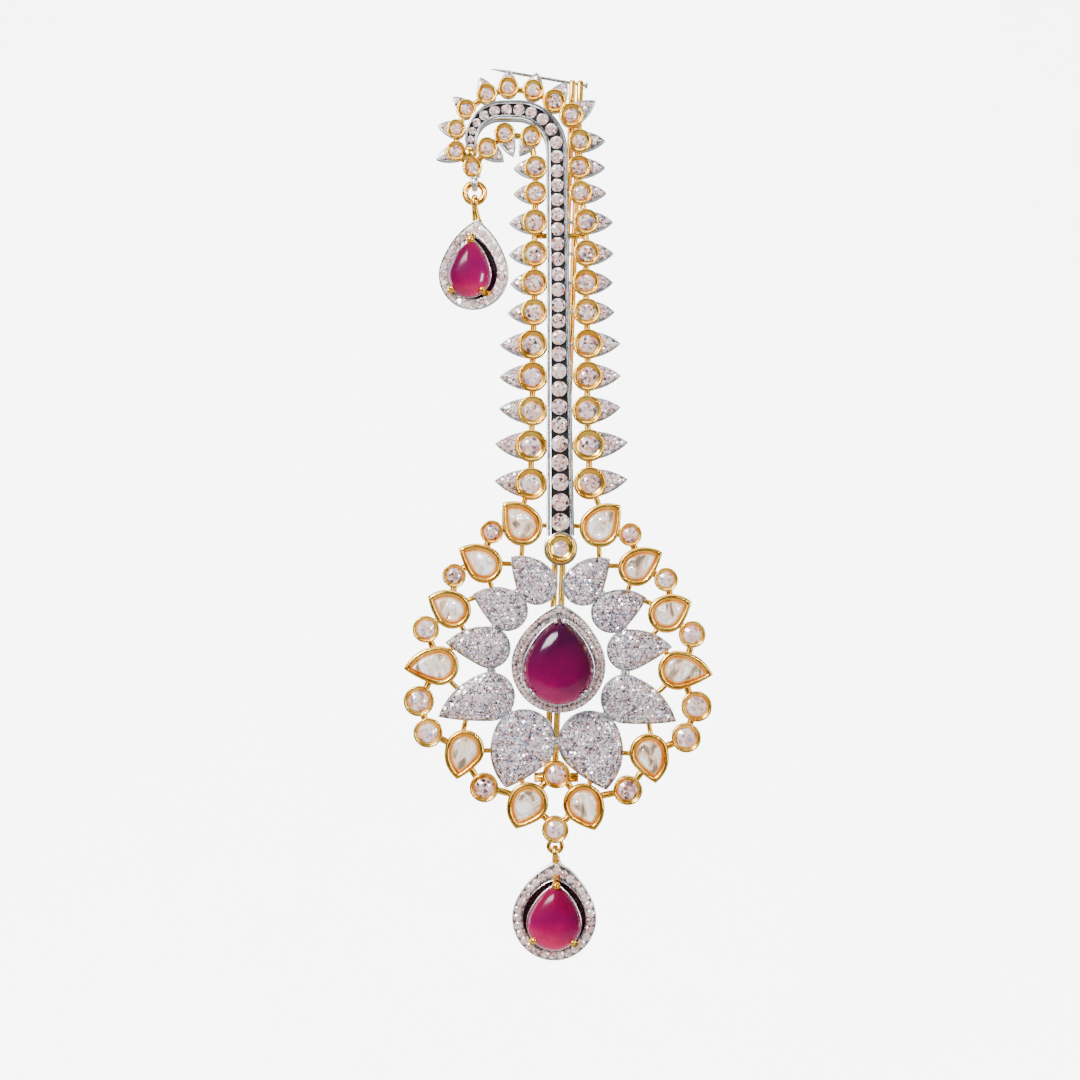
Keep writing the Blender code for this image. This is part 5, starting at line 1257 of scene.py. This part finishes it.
def capPatch(look):
    # the halo drawn up into a point with hollow flanks, flattened front to back
    t = np.linspace(0, 1, 7)
    line = haloPlace(look, np.stack([0 * t, look["tip"] + 0.75 - 2.5 * t], 1), look["thickness"] * 0.55)
    return tube(line, 0.34 + 1.5 * t ** 1.8, 18, 0.45)


def loopCentre():
    # the lower drop's loop hangs under the end bezel
    return medallionPoint(*axisRounds[1][1:3]) - [0, links["loopDrop"]]


def buildDrops():
    # the jump ring and the two drops
    ring, loop = ringCentre(), loopCentre()
    depth, wire = links["depth"], links["ringWire"]
    makePiece("jumpRing", [ringOfWire(ring, depth, links["ring"], wire)], gold, "ring", ["jump_ring"])
    hook = dropLook(ring - [0, links["ring"]], wire, 0.18, 9.5, 0.75, **hookDropOwn)
    lower = dropLook(loop - [0, links["loop"]], links["loopWire"], -0.15, 8.85, 0.83, **lowerDropOwn)
    drops = (("hookDrop", "hook_drop", hook, hookRuby), ("lowerDrop", "lower_drop", lower, lowerRuby))
    for name, body, look, rubyKind in drops:
        nodes = f"{body}_frame", f"{body}_ruby"
        buildHalo(name, look, body, "drop_ruby", rubyKind, *nodes, gold, "yellow_gold")
        makePiece(f"{name}Bail", dropTop(look), gold, body)
    makePiece("lowerDropCap", [capPatch(lower)], whiteGold, "lower_drop")


def buildStem():
    # the channel with its collar and stones, and the bezel at its foot
    base = bezelCup((0, 0), 2.14, 3.1, 1.04)
    low, top = backDepth, backDepth + stem["thickness"]
    section = [
        (2.0, low), (2.52, low), (2.56, top - 0.2), (2.48, top - 0.03), (2.3, top), (2.12, top - 0.1),
        (2.0, top - 0.5)]
    collar = loft([atDepth(circleOutline((0, 0), r, 40), depth) for r, depth in section], closed=True)
    makePiece("stemChannel", [channelPatch(), collar], channelMetal, "ornament", ["stem_channel"])
    makePiece("baseBezel", [base], gold, "ornament")
    makePiece("channelDiamonds", [channelStones()], diamond, "ornament", smooth=False)
    stone = roundStone((0, 0), 2.62, 1.22)
    makePiece("baseDiamond", [stone], diamond, "ornament", ["base_diamond"], smooth=False)


buildStem()
buildRow("right", 1)
buildRow("left", -1)
buildCrest()
print("kalgi: plume built")
buildPin()
buildRing()
buildPave()
print("kalgi: medallion built")
buildHalo("centre", centreHalo, "ornament", "ruby", ruby, "ruby_halo", "central_ruby", whiteGold, "white_gold")
buildDrops()
print("kalgi: rubies and drops built")


studio = {
    "wallY": 0.60, "floorZ": -0.32, "half": 1.6, "curve": 0.35, "top": 1.4, "dimLow": 0.03, "dimHigh": 0.25,
    "seen": 7.0, "paperGlow": 6.0, "paperInStones": 0.3}
studioLights = [   # name, place, target, size, watts, whom it lights
    ("keySoftbox", (-0.30, -0.34, 0.30), (0, 0, -0.02), (0.24, 0.2), 4.4, "all"),
    ("fillSoftbox", (0.40, -0.30, 0.02), (0, 0, -0.03), (0.10, 0.36), 1.3, "notRubies"),
    ("cardLeft", (-0.19, -0.30, 0.02), (0, 0, -0.05), (0.07, 0.16), 0.2, "notRubies"),
    ("rearLeft", (-0.45, 0.32, 0.05), (0, 0, -0.03), (0.30, 0.50), 3.2, "all"),
    ("rearRight", (0.42, 0.36, 0.0), (0, 0, -0.03), (0.20, 0.50), 2.2, "all"),
    ("topSoftbox", (0.0, -0.05, 0.5), (0, 0, 0), (0.4, 0.2), 2.0, "notRubies"),
    ("glintLeft", (-0.16, -0.55, 0.12), (0, 0, -0.03), (0.03, 0.03), 0.9, "notRubies"),
    ("glintRight", (0.22, -0.5, 0.16), (0, 0, -0.03), (0.03, 0.03), 0.8, "notRubies"),
    ("hookGlint", (0.187, -0.16, -0.035), (-0.014, -0.005, 0.008), (0.06, 0.14), 1.5, "hookDropRuby"),
    ("backSoftbox", (0.15, 0.35, 0.35), (0, 0, -0.02), (0.3, 0.3), 1.5, "all")]


def buildSweep():
    # a pale floor that runs to the back and curves up into a wall
    a = np.linspace(0, math.pi / 2, 17)
    curve, wall = studio["curve"], studio["wallY"]
    y = np.concatenate([[-0.45, 0.0], wall - curve + curve * np.sin(a), [wall]])
    z = np.concatenate([[0.0, 0.0], curve - curve * np.cos(a), [studio["top"]]]) + studio["floorZ"]
    x = np.array([-studio["half"], studio["half"]])
    v = np.stack([np.repeat(x, len(y)), np.tile(y, 2), np.tile(z, 2)], 1)
    k = np.arange(len(y) - 1)
    faces = np.stack([k, k + 1, k + 1 + len(y), k + len(y)], 1)[:, ::-1]
    mesh = bpy.data.meshes.new("studioSweep")
    mesh.from_pydata(v.tolist(), [], faces.tolist())
    mesh.polygons.foreach_set("use_smooth", np.full(len(faces), True))
    material, tree, shader = newMaterial("palePaper")
    grain = addNode(tree, "TexNoise", "Fac", {"Vector": objectPlace(tree), "Scale": 40.0})
    tint = mixColours(tree, grain, (0.93, 0.93, 0.93), (0.97, 0.97, 0.965))
    ray = addNode(tree, "LightPath", "Is Camera Ray", {})
    # the paper shows white without lighting the jewel from all sides, and stays quiet in the stones' reflections
    glow = addNode(tree, "Math", "Value", {0: ray, 1: studio["paperGlow"]}, operation="MULTIPLY")
    quiet = mixColours(tree, ray.node.outputs["Is Glossy Ray"], tint, [studio["paperInStones"]] * 3)
    feed(tree, shader, {"Base Color": quiet, "Roughness": 0.9, "Emission Color": tint, "Emission Strength": glow})
    mesh.materials.append(material)
    sweep = bpy.data.objects.new("studioSweep", mesh)
    bpy.context.scene.collection.objects.link(sweep)


def areaLight(name, place, target, size, power):
    # a rectangle of light turned to its target, unseen by the camera
    data = bpy.data.lights.new(name, "AREA")
    data.shape = "RECTANGLE"
    data.size, data.size_y = size
    data.energy = power
    light = bpy.data.objects.new(name, data)
    bpy.context.scene.collection.objects.link(light)
    a, b = np.array(place, float), np.array(target, float)
    light.location = a
    light.rotation_euler = Vector(b - a).to_track_quat("-Z", "Y").to_euler()
    light.visible_camera = False
    return light


def lightOnly(light, whom):
    # a light either leaves the three rubies out or is there for one of them
    if whom == "all":
        return
    chosen = ["centreRuby", "hookDropRuby", "lowerDropRuby"] if whom == "notRubies" else [whom]
    receivers = bpy.data.collections.new(f"{light.name}Receivers")
    for name in chosen:
        receivers.objects.link(bpy.data.objects[name])
    light.light_linking.receiver_collection = receivers
    for item in receivers.collection_objects:
        item.light_linking.link_state = "EXCLUDE" if whom == "notRubies" else "INCLUDE"


def buildLights():
    # the studio's lights, and the world's light
    for name, place, target, size, power, whom in studioLights:
        lightOnly(areaLight(name, place, target, size, power), whom)
    # the camera sees a white surround; the jewel is lit by a dim one that is brighter overhead
    world = bpy.context.scene.world or bpy.data.worlds.new("studioWorld")
    bpy.context.scene.world = world
    world.use_nodes = True
    tree = world.node_tree
    z = addNode(tree, "SeparateXYZ", "Z", {"Vector": addNode(tree, "TexCoord", "Generated", {})})
    up = addNode(tree, "MapRange", "Result", {"Value": z, "From Min": -0.6, "From Max": 0.9})
    dim = addRamp(tree, up, [(0.0, [studio["dimLow"]] * 3), (1.0, [studio["dimHigh"]] * 3)])
    seen = mixColours(tree, addNode(tree, "LightPath", "Is Camera Ray", {}), dim, [studio["seen"]] * 3)
    feed(tree, tree.nodes["Background"], {"Color": seen})


def buildCamera():
    # photo frame: 162 mm across at the jewel's plane, seen square on from 300 mm in front of it
    view = {"across": 162.0, "away": 300.0, "plane": -4.0, "x": -4.2, "z": -33.0}
    data = bpy.data.cameras.new("photoCamera")
    data.sensor_width = 36.0
    data.lens = data.sensor_width * view["away"] / view["across"]
    data.clip_start = 0.005
    data.clip_end = 20.0
    camera = bpy.data.objects.new("photoCamera", data)
    camera.location = (view["x"] * 0.001, (view["plane"] - view["away"]) * 0.001, view["z"] * 0.001)
    camera.rotation_euler = (math.pi / 2, 0, 0)
    bpy.context.scene.collection.objects.link(camera)
    bpy.context.scene.camera = camera


buildSweep()
buildLights()
buildCamera()
print("kalgi: studio ready")
